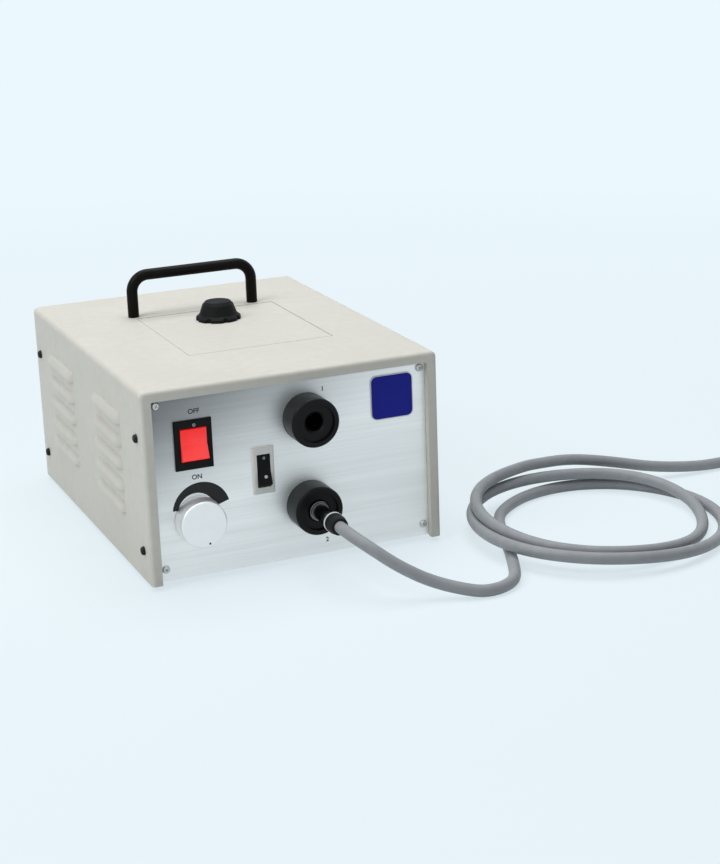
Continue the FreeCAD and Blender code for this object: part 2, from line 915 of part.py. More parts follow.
def foot_spots():
    return [(side * s.foot_side, y) for side in (-1, 1) for y in (s.foot_front, s.foot_rear)]


def build_feet():
    bore = s.thin_shank + s.pass_play
    well = s.side_head + s.pass_play
    outline = [(bore, s.foot_seat), (well, s.foot_seat), (well, 0.0), (s.foot_radius - 1, 0.0),
               (s.foot_radius, s.foot_height), (bore, s.foot_height)]
    feet = [turned("foot", outline, x, y, 0.0, UP) for x, y in foot_spots()]
    finish("feet", group(feet))
    screws = [screw(x, y, s.foot_seat, DOWN, s.side_head, s.small_head_stand, s.thin_shank,
                    s.foot_screw_length) for x, y in foot_spots()]
    finish("foot_screws", group(screws))


# Handle

def build_handle():
    """A rod bent into a U, drilled from beneath for its screws."""
    bend = float(s.handle_bend)
    low = float(COVER_TOP)
    high = low + s.handle_stand - s.handle_rod
    back = float(s.handle_back)
    step = bend * (1 - math.sqrt(0.5))

    def corner(side, inward):
        return [Vector(side, back, high - bend),
                Vector(side + inward * step, back, high - step),
                Vector(side + inward * bend, back, high)]

    left_end, right_end = (float(end) for end in s.handle_ends)
    left = corner(left_end, 1)
    right = corner(right_end, -1)
    edges = [Part.LineSegment(Vector(left_end, back, low), left[0]), Part.Arc(*left),
             Part.LineSegment(left[2], right[2]), Part.Arc(*reversed(right)),
             Part.LineSegment(right[0], Vector(right_end, back, low))]
    wire = Part.Wire([edge.toShape() for edge in edges])
    bar = feature(tube(wire, float(s.handle_rod), Vector(0, 0, 1)))
    holes = [rod(x, s.handle_back, COVER_TOP - s.cut_past, s.handle_shank + s.pilot_play,
                 s.handle_screw_depth + s.cut_past, UP) for x in s.handle_ends]
    finish("handle", cut(bar, holes))
    length = s.handle_screw_depth + s.cover_wall - s.cut_past
    screws = [screw(x, s.handle_back, UNDER_TOP, DOWN, s.handle_screw_head,
                    s.side_head_stand, s.handle_shank, length) for x in s.handle_ends]
    finish("handle_screws", group(screws))


# Hatch and its latch

def build_hatch():
    """Lid in the top of the case, held at the front by two tongues under the sheet."""
    half = s.hatch_width / 2 - s.hatch_gap
    lid_top = COVER_TOP - s.hatch_drop
    lid_under = lid_top - s.cover_wall
    lid = box(s.hatch_middle - half, s.hatch_middle + half, s.hatch_front + s.hatch_gap,
              s.hatch_rear - s.hatch_gap, lid_under, lid_top)
    tongues = []
    for side in (-1, 1):
        middle = s.hatch_middle + side * s.tongue_spread
        tongues.append(box(middle - s.tongue_width / 2, middle + s.tongue_width / 2,
                           s.hatch_front - s.tongue_reach, s.hatch_front + s.tongue_grip,
                           lid_under - s.cover_wall, lid_under))
    hole = rod(s.hatch_middle, s.latch_back, lid_under - s.cut_past,
               s.latch_stem + s.hole_play, s.cover_wall + 2 * s.cut_past, UP)
    finish("hatch_lid", cut(fuse([lid] + tongues), [hole]))


def build_latch():
    """Flared finger knob on the lid, and the cam bar that it turns under the sheet."""
    under = COVER_TOP - s.hatch_drop - s.cover_wall - s.cam_gap
    rest = COVER_TOP - s.hatch_drop + s.latch_gap
    body = new_body("latch")
    stem_low = under - s.cam_thick - rest
    rim = s.latch_rim
    crown = rim / 2
    outline = [(0.0, stem_low), (s.latch_stem, stem_low), (s.latch_stem, 0.0),
               (s.latch_base, 0.0), (s.latch_base, rim), (s.latch_base - s.latch_flare, 2 * rim),
               (s.latch_top + crown, s.latch_height - rim),
               (s.latch_top - crown, s.latch_height), (0.0, s.latch_height)]
    revolve(body, sketch(body, "XZ_Plane", [outline]))
    reach = s.latch_base + s.flute_out
    flute = sketch(body, "XY_Plane", holes=[(reach, 0.0, s.flute_radius)])
    groove = pocket(body, flute, both_ways=True)
    doc.recompute()
    flutes = body.newObject("PartDesign::PolarPattern", "flutes")
    flutes.Originals = [groove]
    flutes.Axis = (flute, ["N_Axis"])
    flutes.Angle = 360
    flutes.Occurrences = LATCH_FLUTES
    body.Tip = flutes
    place(body, s.hatch_middle, s.latch_back, rest, UP)
    finish("latch_knob", body)
    bar = box(s.hatch_middle - s.cam_reach, s.hatch_middle, s.latch_back - s.cam_width / 2,
              s.latch_back + s.cam_width / 2, under - s.cam_thick, under)
    eye = rod(s.hatch_middle, s.latch_back, under - s.cam_thick, s.latch_stem * 2, s.cam_thick, UP)
    bore = rod(s.hatch_middle, s.latch_back, under - s.cam_thick - s.cut_past,
               s.latch_stem + s.shaft_play, s.cam_thick + 2 * s.cut_past, UP)
    finish("latch_cam", cut(fuse([bar, eye]), [bore]))


# Rocker switches

def build_switch(name, frame_name, side, up, width, tall, rocker_width):
    """Moulded frame that snaps into the panel, and the rocker on its two stub pins."""
    frame = new_body(name + "_body")
    half_width = width / 2
    half_tall = tall / 2
    bezel = rectangle(-half_width, half_width, -half_tall, half_tall)
    made = pad(frame, sketch(frame, "XY_Plane", [bezel]), s.bezel_stand)

    def front_edge(edge):
        return abs(edge.BoundBox.ZMin - s.bezel_stand) < 1e-4

    fillet(frame, made, front_edge, s.bezel_round)
    body_width = half_width - s.bezel_lap
    body_tall = half_tall - s.bezel_lap
    block = rectangle(-body_width, body_width, -body_tall, body_tall)
    pad(frame, sketch(frame, "XY_Plane", [block]), s.switch_depth, reverse=True)
    room_width = rocker_width / 2 + s.rocker_play
    room_tall = s.rocker_reach + s.rocker_play
    room = rectangle(-room_width, room_width, -room_tall, room_tall)
    depth = s.bezel_stand + s.pivot_depth + s.rocker_room
    pocket(frame, sketch(frame, "XY_Plane", [room], offset=s.bezel_stand), depth)
    pin_hole = [(0.0, -s.pivot_depth, s.pivot_pin + s.pin_play)]
    hole_span = rocker_width + 2 * (s.pivot_length + s.pivot_end_play)
    pocket(frame, sketch(frame, "YZ_Plane", holes=pin_hole), hole_span, both_ways=True)
    blades = []
    for step in (-1, 0, 1):
        middle = step * s.blade_width * 1.5
        blades.append(rectangle(-s.blade_width / 2, s.blade_width / 2,
                                middle - s.blade_thick / 2, middle + s.blade_thick / 2))
    back = sketch(frame, "XY_Plane", blades, offset=-s.switch_depth)
    pad(frame, back, s.blade_length, reverse=True)
    place(frame, side, s.panel_recess, up, FRONT)
    finish(frame_name, frame)

    rocker = new_body(name + "_key")
    reach = s.rocker_reach
    disc = sketch(rocker, "YZ_Plane", holes=[(0.0, 0.0, reach)])
    pad(rocker, disc, rocker_width, both_ways=True)
    far = reach + s.cut_past
    roof = far + s.cut_past
    rise = s.rocker_valley + far * tangent(s.rocker_tilt)
    valley = [(0.0, s.rocker_valley), (far, rise), (far, roof), (-far, roof), (-far, rise)]
    pocket(rocker, sketch(rocker, "YZ_Plane", [valley]), both_ways=True)
    behind = rectangle(-far, far, -roof, -s.rocker_back)
    pocket(rocker, sketch(rocker, "YZ_Plane", [behind]), both_ways=True)
    pins = sketch(rocker, "YZ_Plane", holes=[(0.0, 0.0, s.pivot_pin)])
    pad(rocker, pins, rocker_width + 2 * s.pivot_length, both_ways=True)
    rest = (Vector(1, 0, 0), 90 - float(s.rocker_tilt))
    place(rocker, side, s.panel_recess + s.pivot_depth, up, rest)
    rocker.setExpression("Placement.Rotation.Angle", "(90 - %s) * 1 deg" % s.rocker_tilt.text)
    finish(name + "_rocker", rocker)


# Intensity control

def build_dial():
    """Knob, its shaft, and the potentiometer behind the panel with its nut in front."""
    at = (s.dial_side, s.panel_recess, s.dial_up, FRONT)
    wall = s.panel_thick + s.chassis_wall
    bore = s.shaft_radius + s.pin_play
    inside = -wall - s.pot_depth
    base = inside + s.cut_past
    body = [(bore, s.bush_stand), (s.bush_radius, s.bush_stand), (s.bush_radius, -wall),
            (s.pot_radius, -wall), (s.pot_radius, inside), (0.0, inside), (0.0, base),
            (bore, base)]
    finish("potentiometer", turned("pot", body, *at))
    nut = hexagon(s.dial_side, s.panel_recess, s.dial_up, s.nut_radius, s.nut_thick, FRONT)
    hole = rod(s.dial_side, s.panel_recess + s.cut_past, s.dial_up,
               s.bush_radius + s.hole_play, s.nut_thick + 2 * s.cut_past, FRONT)
    finish("pot_nut", cut(nut, [hole]))
    shaft_low = base + 2 * s.hole_play
    finish("pot_shaft", rod(s.dial_side, s.panel_recess - shaft_low, s.dial_up, s.shaft_radius,
                            s.shaft_reach - shaft_low, FRONT))
    knob = new_body("dial")
    recess_top = s.bush_stand + 2 * s.dial_lift
    grip = s.shaft_radius + s.shaft_play
    outline = [(s.dial_recess, s.dial_lift), (s.dial_radius, s.dial_lift),
               (s.dial_radius, s.dial_skirt), (s.dial_face, s.dial_height), (0.0, s.dial_height),
               (0.0, s.shaft_reach), (grip, s.shaft_reach), (grip, recess_top),
               (s.dial_recess, recess_top)]
    made = revolve(knob, sketch(knob, "XZ_Plane", [outline]))
    fillet(knob, made, lambda edge: ring_at(edge, s.dial_height), s.dial_round)
    place(knob, *at)
    finish("intensity_knob", knob)


# Lamp ports

def build_ports():
    """Each port clamps on the panel with a nut behind, and holds a heat filter at its end."""
    neck_end = -(s.port_end - s.panel_recess)
    mouth = s.port_bore + s.port_chamfer
    floor = s.port_stand - s.port_dish_depth
    seat = s.filter_radius + s.pin_play
    outline = [(s.port_bore, floor - s.port_chamfer), (mouth, floor), (s.port_dish, floor),
               (s.port_dish, s.port_stand), (s.port_radius, s.port_stand),
               (s.port_radius, 0.0), (s.port_neck, 0.0), (s.port_neck, neck_end),
               (seat, neck_end), (seat, neck_end + s.filter_room),
               (s.port_bore, neck_end + s.filter_room)]
    nuts = []
    filters = []
    for number, up in ((1, s.port_high), (2, s.port_low)):
        body = new_body("port_%d" % number)
        made = revolve(body, sketch(body, "XZ_Plane", [outline]))

        def face_edge(edge):
            return ring_at(edge, s.port_stand) and edge.BoundBox.XMax > s.port_radius - 1e-3

        fillet(body, made, face_edge, s.port_round)
        place(body, s.port_side, s.panel_recess, up, FRONT)
        finish("port_socket_%d" % number, body)
        nut = hexagon(s.port_side, WALL_BACK, up, s.port_nut, s.port_nut_thick, BACK)
        hole = rod(s.port_side, WALL_BACK - s.cut_past, up, s.port_neck + s.hole_play,
                   s.port_nut_thick + 2 * s.cut_past, BACK)
        nuts.append(cut(nut, [hole]))
        filters.append(rod(s.port_side, s.port_end - s.filter_room + s.plug_lift, up,
                           s.filter_radius, s.filter_thick, BACK))
    finish("port_nuts", group(nuts))
    finish("heat_filters", group(filters))


# Lamps behind the ports

def build_lamps():
    """Bracket with a window for each lamp, reflectors, capsules and sockets."""
    front = s.bracket_front
    rear = front + s.bracket_depth
    wall = s.bracket_wall
    floor = CHASSIS_FLOOR
    body = new_body("lamp_frame")
    profile = [(front, floor), (rear, floor), (rear, s.bracket_back_top),
               (rear - wall, s.bracket_back_top), (rear - wall, floor + wall),
               (front + wall, floor + wall), (front + wall, s.bracket_top),
               (front, s.bracket_top)]
    pad(body, sketch(body, "YZ_Plane", [profile]), s.bracket_width, both_ways=True)
    place(body, s.port_side, 0.0, 0.0, UP)
    windows = [rod(s.port_side, front - s.cut_past, up, s.lamp_window, wall + 2 * s.cut_past,
                   BACK) for up in (s.port_low, s.port_high)]
    finish("lamp_bracket", cut(body, windows))
    seat = front + wall
    socket_front = seat + s.lamp_depth + s.lamp_neck_reach
    outline = reflector_outline()
    capsules = []
    sockets = []
    for number, up in ((1, s.port_high), (2, s.port_low)):
        finish("lamp_%d" % number, turned("lamp", outline, s.port_side, seat, up, BACK))
        capsules.append(rod(s.port_side, socket_front - s.capsule_length, up,
                            s.capsule_radius, s.capsule_length, BACK))
        half = s.socket_width / 2
        sockets.append(box(s.port_side - half, s.port_side + half, socket_front, rear - wall,
                           up - s.socket_tall / 2, up + s.socket_tall / 2))
    finish("lamp_capsules", group(capsules))
    finish("lamp_sockets", group(sockets))


def bowl(radius, depth, narrow):
    """Corners of a bowl's side from its rim to where it is as narrow as given."""
    last = math.acos(narrow / radius)
    angles = [last * step / LAMP_STEPS for step in range(LAMP_STEPS)]
    side = [(radius * math.cos(angle), depth * math.sin(angle)) for angle in angles]
    return side + [(narrow, depth * math.sin(last))]


def reflector_outline():
    """Thin bowl of stepped cones, open toward the port, with a neck for its capsule."""
    bore = s.capsule_radius + s.hole_play
    neck = s.capsule_radius + s.lamp_neck
    end = s.lamp_depth + s.lamp_neck_reach
    outside = bowl(s.lamp_radius, s.lamp_depth, neck)
    inside = bowl(s.lamp_radius - s.lamp_wall, s.lamp_depth - s.lamp_wall, bore)
    return outside + [(neck, end), (bore, end)] + inside[::-1]


# Transformer

def core_depth():
    return 6 * s.core_leg


def strap_spots():
    """Middle of each foot of the transformer's strap."""
    reach = s.strap_thick + s.strap_foot / 2
    rear = s.core_front + core_depth()
    return [(s.core_side, s.core_front - reach), (s.core_side, rear + reach)]


def build_transformer():
    """Laminated core with two windows, its winding, and the strap that holds it down."""
    leg = s.core_leg
    low = CHASSIS_FLOOR
    front = s.core_front
    rear = front + core_depth()
    high = low + 2 * leg + s.core_window
    body = new_body("core")
    pad(body, sketch(body, "YZ_Plane", [rectangle(front, rear, low, high)]), s.core_stack,
        both_ways=True)
    window_low = low + leg
    window_high = window_low + s.core_window
    windows = [rectangle(front + leg, front + 2 * leg, window_low, window_high),
               rectangle(rear - 2 * leg, rear - leg, window_low, window_high)]
    pocket(body, sketch(body, "YZ_Plane", windows), both_ways=True)
    place(body, s.core_side, 0.0, 0.0, UP)
    finish("transformer_core", body)

    coil = new_body("winding")
    play = s.coil_play
    half_width = s.core_stack / 2 + s.coil_build
    half_inner = s.core_stack / 2 + play
    outer = rectangle(-half_width, half_width, front + leg + play, rear - leg - play)
    inner = rectangle(-half_inner, half_inner, front + 2 * leg - play, rear - 2 * leg + play)
    made = pad(coil, sketch(coil, "XY_Plane", [outer, inner], offset=window_low + play),
               s.core_window - 2 * play)

    def outer_corner(edge):
        return along(edge, Vector(0, 0, 1)) and abs(edge.BoundBox.XMin) > half_width - 1e-3

    fillet(coil, made, outer_corner, s.coil_build / 2)
    place(coil, s.core_side, 0.0, 0.0, UP)
    finish("transformer_coil", coil)

    thick = s.strap_thick
    foot = s.strap_foot
    strap = new_body("strap")
    profile = [(front - thick - foot, low), (front, low), (front, high), (rear, high),
               (rear, low), (rear + thick + foot, low), (rear + thick + foot, low + thick),
               (rear + thick, low + thick), (rear + thick, high + thick),
               (front - thick, high + thick), (front - thick, low + thick),
               (front - thick - foot, low + thick)]
    pad(strap, sketch(strap, "YZ_Plane", [profile]), s.strap_width, both_ways=True)
    place(strap, s.core_side, 0.0, 0.0, UP)
    holes = [rod(x, y, low - s.cut_past, s.thin_shank + s.pass_play, thick + 2 * s.cut_past, UP)
             for x, y in strap_spots()]
    finish("transformer_clamp", cut(strap, holes))
    length = thick + s.chassis_wall + s.cut_past
    screws = [screw(x, y, low + thick, UP, s.side_head, s.side_head_stand, s.thin_shank, length)
              for x, y in strap_spots()]
    finish("transformer_screws", group(screws))


# Control board

def build_board():
    """Dimmer board on four standoffs, with its heatsink and larger components."""
    left = s.board_left
    right = left + s.board_width
    front = s.board_front
    rear = front + s.board_depth
    low = CHASSIS_FLOOR + s.board_lift
    top = low + s.board_thick
    spots = [(x, y) for x in (left + s.board_inset, right - s.board_inset)
             for y in (front + s.board_inset, rear - s.board_inset)]
    holes = [rod(x, y, low - s.cut_past, s.standoff_stub + s.hole_play,
                 s.board_thick + 2 * s.cut_past, UP) for x, y in spots]
    finish("control_board", cut(box(left, right, front, rear, low, top), holes))
    posts = []
    for x, y in spots:
        post = hexagon(x, y, CHASSIS_FLOOR, s.standoff_radius, s.board_lift, UP)
        reach = s.board_lift + s.board_thick + s.cut_past
        stub = rod(x, y, CHASSIS_FLOOR, s.standoff_stub, reach, UP)
        posts.append(fuse([post, stub]))
    finish("board_standoffs", group(posts))

    sink = new_body("heatsink")
    comb = [(0.0, 0.0), (s.sink_width, 0.0)]
    gap = (s.sink_width - SINK_FINS * s.sink_fin) / (SINK_FINS - 1)
    for fin in reversed(range(SINK_FINS)):
        fin_left = fin * (s.sink_fin + gap)
        comb += [(fin_left + s.sink_fin, s.sink_depth), (fin_left, s.sink_depth)]
        if fin:
            comb += [(fin_left, s.sink_base), (fin_left - gap, s.sink_base)]
    pad(sink, sketch(sink, "XY_Plane", [comb]), s.sink_tall)
    sink_left = left + (s.board_width - s.sink_width) / 2
    place(sink, sink_left, rear - s.sink_depth - 3 * s.board_inset, top, UP)
    finish("board_heatsink", sink)

    build_components(left + s.board_width / 2, front, top)


def build_components(middle, front, top):
    """Two capacitors, a relay and a choke, in two rows on the board."""
    spread = s.component_spread
    first = front + s.component_first
    second = front + s.board_depth / 2
    parts = [rod(middle - spread, first, top, s.capacitor_radius, s.capacitor_tall, UP),
             rod(middle + spread, first, top, s.small_capacitor, s.capacitor_tall / 2, UP),
             box(middle - spread - s.relay_half, middle - spread + s.relay_half,
                 second - s.relay_half, second + s.relay_half, top, top + s.relay_tall),
             rod(middle + spread, second, top, s.choke_radius, s.choke_tall, UP)]
    finish("board_components", group(parts))


# Fan, with its guard outside the rear wall

def fan_spots():
    return [(s.fan_side + side * s.fan_hole_side, s.fan_up + rise * s.fan_hole_side)
            for side in (-1, 1) for rise in (-1, 1)]


def build_fan():
    half = s.fan_size / 2
    body = new_body("fan_housing")
    made = pad(body, sketch(body, "XY_Plane", [rectangle(-half, half, -half, half)]), s.fan_depth)

    def corner(edge):
        return along(edge, Vector(0, 0, 1))

    fillet(body, made, corner, s.fan_strut - s.cut_past)
    pocket(body, sketch(body, "XY_Plane", holes=[(0.0, 0.0, s.fan_bore)]), reverse=True)
    bars = [rectangle(-s.fan_bore, s.fan_bore, -s.fan_strut / 2, s.fan_strut / 2)]
    pad(body, sketch(body, "XY_Plane", bars), s.fan_strut_thick)
    bars = [rectangle(-s.fan_strut / 2, s.fan_strut / 2, -s.fan_bore, s.fan_bore)]
    pad(body, sketch(body, "XY_Plane", bars), s.fan_strut_thick)
    pad(body, sketch(body, "XY_Plane", holes=[(0.0, 0.0, s.fan_hub)]), s.fan_boss)
    drilled = [(x, y, s.handle_shank) for x in (-s.fan_hole_side, s.fan_hole_side)
               for y in (-s.fan_hole_side, s.fan_hole_side)]
    drilled.append((0.0, 0.0, s.fan_axle + s.pin_play))
    pocket(body, sketch(body, "XY_Plane", holes=drilled), reverse=True)
    fan_front = REAR_WALL - s.fan_depth
    place(body, s.fan_side, fan_front, s.fan_up, BACK)
    finish("fan_frame", body)

    finish("fan_rotor", fan_rotor(fan_front))
    finish("fan_guard", fan_guard())
    outside = REAR_FACE + s.guard_thick
    screws = [screw(x, outside, z, BACK, s.small_head, s.small_head_stand,
                    s.handle_shank - s.pilot_play, s.fan_screw_length) for x, z in fan_spots()]
    finish("fan_screws", group(screws))


def blade_section(radius, pitch, depth):
    """A blade's thin section on the plane at this distance from the axle."""
    angle = math.radians(pitch)
    reach = depth / 2 / math.sin(angle)
    thick = s.fan_blade_thick / 2
    length = Vector(0, math.cos(angle), math.sin(angle)) * reach
    across = Vector(0, -math.sin(angle), math.cos(angle)) * thick
    middle = Vector(radius, 0, 0)
    corners = [middle - length - across, middle + length - across,
               middle + length + across, middle - length + across]
    return Part.makePolygon(corners + corners[:1])


def fan_rotor(fan_front):
    """Hub on its axle, with blades lofted from a steep root to a flatter tip."""
    low = s.fan_boss + s.fan_hub_gap
    inset = 2 * s.fan_tip_gap
    high = s.fan_depth - inset
    tip = s.fan_bore - s.fan_tip_gap
    hub = Part.makeCylinder(s.fan_hub, high - low, Vector(0, 0, low))
    axle = Part.makeCylinder(s.fan_axle, low - s.fan_axle_gap, Vector(0, 0, s.fan_axle_gap))
    depth = high - low - 1.5 * inset
    middle = (high + low) / 2
    root_section = blade_section(s.fan_hub - inset, s.fan_blade_root, depth)
    tip_section = blade_section(tip + inset, s.fan_blade_tip, depth)
    blade = Part.makeLoft([root_section, tip_section], True, True)
    blade.translate(Vector(0, 0, middle))
    blade = blade.common(Part.makeCylinder(tip, s.fan_depth))
    blades = []
    for count in range(FAN_BLADES):
        copy = blade.copy()
        copy.rotate(Vector(), Vector(0, 0, 1), 360.0 * count / FAN_BLADES)
        blades.append(copy)
    rotor = feature(hub.fuse([axle] + blades).removeSplitter())
    return place(rotor, s.fan_side, fan_front, s.fan_up, BACK)


def ring(inner, outer, thick):
    start = Vector()
    return Part.makeCylinder(outer, thick, start).cut(Part.makeCylinder(inner, thick, start))


def fan_guard():
    """Flat guard of rings joined by four arms that reach the fan's screws."""
    thick = float(s.guard_thick)
    wire = float(s.guard_wire)
    hub = float(s.guard_hub)
    rings = []
    radius = hub + s.guard_pitch
    while radius < s.fan_bore:
        rings.append(ring(radius - wire / 2, radius + wire / 2, thick))
        radius += s.guard_pitch
    shape = Part.makeCylinder(hub, thick).fuse(rings)
    diagonal = s.fan_hole_side * math.sqrt(2)
    ears = []
    for count in range(4):
        arm = Part.makeBox(diagonal, 2 * wire, thick, Vector(0, -wire, 0))
        ear = Part.makeCylinder(2 * wire, thick, Vector(diagonal, 0, 0))
        for piece in (arm, ear):
            piece.rotate(Vector(), Vector(0, 0, 1), 45 + 90 * count)
            ears.append(piece)
    shape = shape.fuse(ears)
    holes = [Part.makeCylinder(s.handle_shank + s.pass_play, thick, Vector(x, y, 0))
             for x in (-s.fan_hole_side, s.fan_hole_side)
             for y in (-s.fan_hole_side, s.fan_hole_side)]
    guard = feature(shape.cut(holes).removeSplitter())
    return place(guard, s.fan_side, REAR_FACE, s.fan_up, BACK)


# Mains inlet and fuse

def inlet_screw_sides():
    return [s.inlet_side + side * s.inlet_screw_spread for side in (-1, 1)]


def build_inlet():
    """Three-pin inlet: a flange outside the rear wall and a socket that goes through it."""
    body = new_body("inlet")
    half_width = s.inlet_flange_width / 2
    half_tall = s.inlet_flange_tall / 2
    flange = rectangle(-half_width, half_width, -half_tall, half_tall)
    made = pad(body, sketch(body, "XY_Plane", [flange]), s.inlet_flange_thick)

    def corner(edge):
        return along(edge, Vector(0, 0, 1))

    fillet(body, made, corner, s.fan_strut)
    block = rectangle(-s.inlet_body_width / 2, s.inlet_body_width / 2,
                      -s.inlet_body_tall / 2, s.inlet_body_tall / 2)
    pad(body, sketch(body, "XY_Plane", [block]), s.inlet_body_depth, reverse=True)
    room_half = s.inlet_socket_width / 2
    room_tall = s.inlet_socket_tall / 2
    notch = s.inlet_socket_tall / 4
    room = [(-room_half, -room_tall), (room_half, -room_tall), (room_half, notch),
            (room_half - notch, room_tall), (notch - room_half, room_tall), (-room_half, notch)]
    top = sketch(body, "XY_Plane", [room], offset=s.inlet_flange_thick)
    pocket(body, top, s.inlet_socket_depth)
    holes = [(side * s.inlet_screw_spread, 0.0, s.thin_shank + s.pass_play) for side in (-1, 1)]
    pocket(body, sketch(body, "XY_Plane", holes=holes), both_ways=True)
    pins = []
    for step in (-1, 0, 1):
        x = step * s.inlet_pin_spread
        y = (1 - 2 * abs(step)) * s.inlet_pin_rise
        pins.append(rectangle(x - s.inlet_pin_half, x + s.inlet_pin_half,
                              y - s.inlet_pin_reach, y + s.inlet_pin_reach))
    floor = s.inlet_flange_thick - s.inlet_socket_depth
    pad(body, sketch(body, "XY_Plane", pins, offset=floor), s.inlet_pin_length)
    place(body, s.inlet_side, REAR_FACE, s.inlet_up, BACK)
    finish("mains_inlet", body)
    outside = REAR_FACE + s.inlet_flange_thick
    screws = [screw(x, outside, s.inlet_up, BACK, s.small_head, s.small_head_stand,
                    s.thin_shank, s.inlet_screw_length) for x in inlet_screw_sides()]
    finish("inlet_screws", group(screws))


def build_fuse():
    """Panel fuse holder whose cap turns a bayonet."""
    at = (s.fuse_side, REAR_FACE, s.fuse_up, BACK)
    inside = -s.fuse_barrel_length
    flange = s.fuse_flange_thick
    base = inside + flange
    barrel = [(s.fuse_bore, flange), (s.fuse_flange, flange), (s.fuse_flange, 0.0),
              (s.fuse_barrel, 0.0), (s.fuse_barrel, inside), (0.0, inside), (0.0, base),
              (s.fuse_bore, base)]
    finish("fuse_holder", turned("holder", barrel, *at))
    body = new_body("cap")
    rest = flange + s.fuse_play
    stem = s.fuse_bore - s.fuse_play
    top = s.fuse_cap_stand
    outline = [(0.0, rest - s.fuse_stem_length), (stem, rest - s.fuse_stem_length),
               (stem, rest), (s.fuse_cap_radius, rest), (s.fuse_cap_radius - s.fuse_cap_taper, top),
               (0.0, top)]
    revolve(body, sketch(body, "XZ_Plane", [outline]))
    slot = rectangle(-s.fuse_cap_radius, s.fuse_cap_radius, -s.fuse_slot, s.fuse_slot)
    pocket(body, sketch(body, "XY_Plane", [slot], offset=top), s.fuse_slot_depth)
    place(body, *at)
    finish("fuse_cap", body)


# Light guide

def tube(wire, radius, direction):
    """A round solid swept along the wire, which starts along the direction."""
    start = wire.OrderedEdges[0].valueAt(wire.OrderedEdges[0].FirstParameter)
    section = Part.Wire([Part.Circle(start, direction, radius).toShape()])
    shell = Part.BRepOffsetAPI.MakePipeShell(wire)
    shell.add(section)
    shell.build()
    shell.makeSolid()
    return shell.shape()


def check_tube(name, solid, wire, radius):
    """Prints how the tube's volume compares with its section times its length."""
    expected = math.pi * radius ** 2 * wire.Length
    print("%s: length %.0f mm, volume ratio %.4f" % (name, wire.Length, solid.Volume / expected))


def corded(name, points):
    """Straight runs joined by arcs as large as the runs allow, as a wire."""
    route = [Vector(*point) for point in points]
    edges = []
    radii = []
    start = route[0]
    for before, corner, after in zip(route, route[1:], route[2:]):
        to_corner = corner - before
        from_corner = after - corner
        half_turn = to_corner.getAngle(from_corner) / 2
        shorter = min(to_corner.Length, from_corner.Length)
        back = BEND_SHARE * shorter
        radius = back / math.tan(half_turn)
        radii.append(radius)
        first = corner - to_corner.normalize() * back
        last = corner + from_corner.normalize() * back
        inward = (first + last) * 0.5 - corner
        sag = radius / math.cos(half_turn) - radius
        middle = corner + inward.normalize() * sag
        edges.append(Part.LineSegment(start, first).toShape())
        edges.append(Part.Arc(first, middle, last).toShape())
        start = last
    edges.append(Part.LineSegment(start, route[-1]).toShape())
    print("%s radii: %s" % (name, " ".join("%.0f" % radius for radius in radii)))
    return Part.Wire(edges)


def arc_from(start, heading, end):
    """The arc that leaves the start along its heading and reaches the end."""
    chord = end - start
    aside = chord - heading * chord.dot(heading)
    radius = chord.Length ** 2 / (2 * aside.Length)
    middle = start + aside.normalize() * radius
    spoke = (start - middle) + (end - middle)
    return Part.Arc(start, middle + spoke.normalize() * radius, end).toShape()


def biarc(start, heading, end, final):
    """Two arcs that join smoothly and keep both headings."""
    across = end - start
    both = heading + final
    spread = 2 * (1 - heading.dot(final))
    lean = across.dot(both)
    reach = (math.sqrt(lean ** 2 + spread * across.dot(across)) - lean) / spread
    joint = (start + end + (heading - final) * reach) * 0.5
    to_joint = arc_from(start, heading, joint)
    # The second arc is drawn from its far end back to the joint and keeps that end's heading
    back = arc_from(end, final * -1, joint)
    middle = back.valueAt((back.FirstParameter + back.LastParameter) / 2)
    return [to_joint, Part.Arc(joint, middle, end).toShape()]


def coil_stations():
    """Points of the ring at each quarter turn, laid clockwise and layer on layer."""
    count = len(COIL_RADII)
    quarters = list(range(count)) + [count - 1 + COIL_END[0]]
    radii = list(COIL_RADII) + [COIL_END[1]]
    layers = list(COIL_LAYERS) + [COIL_END[2]]
    stations = []
    for quarter, radius, layer in zip(quarters, radii, layers):
        angle = math.radians(s.coil_start - 90 * quarter)
        height = s.guide_radius + layer * s.coil_lift
        stations.append(Vector(s.coil_side + radius * math.cos(angle),
                               s.coil_back + radius * math.sin(angle), height))
    return stations


def coil_headings(stations, first, last):
    """Heading at each station, so that the ring bends evenly through it."""
    headings = [first]
    for before, here, after in zip(stations, stations[1:], stations[2:]):
        headings.append(circle_heading(before, here, after))
    headings.append(last)
    return headings


def circle_heading(before, here, after):
    """Level heading at the middle one of three stations, along the circle through them."""
    into = here - before
    out = after - here
    heading = into * (out.Length / into.Length) + out * (into.Length / out.Length)
    heading.z = 0
    return heading.normalize()


def least_gap(wire, diameter):
    """Least space between two stretches of the same tube, measured on points."""
    count = int(wire.Length / GAP_STEP)
    points = wire.discretize(count)
    skip = int(3 * diameter / GAP_STEP)
    gap = min((points[i] - points[j]).Length for i in range(count)
              for j in range(i + skip, count))
    return gap - diameter


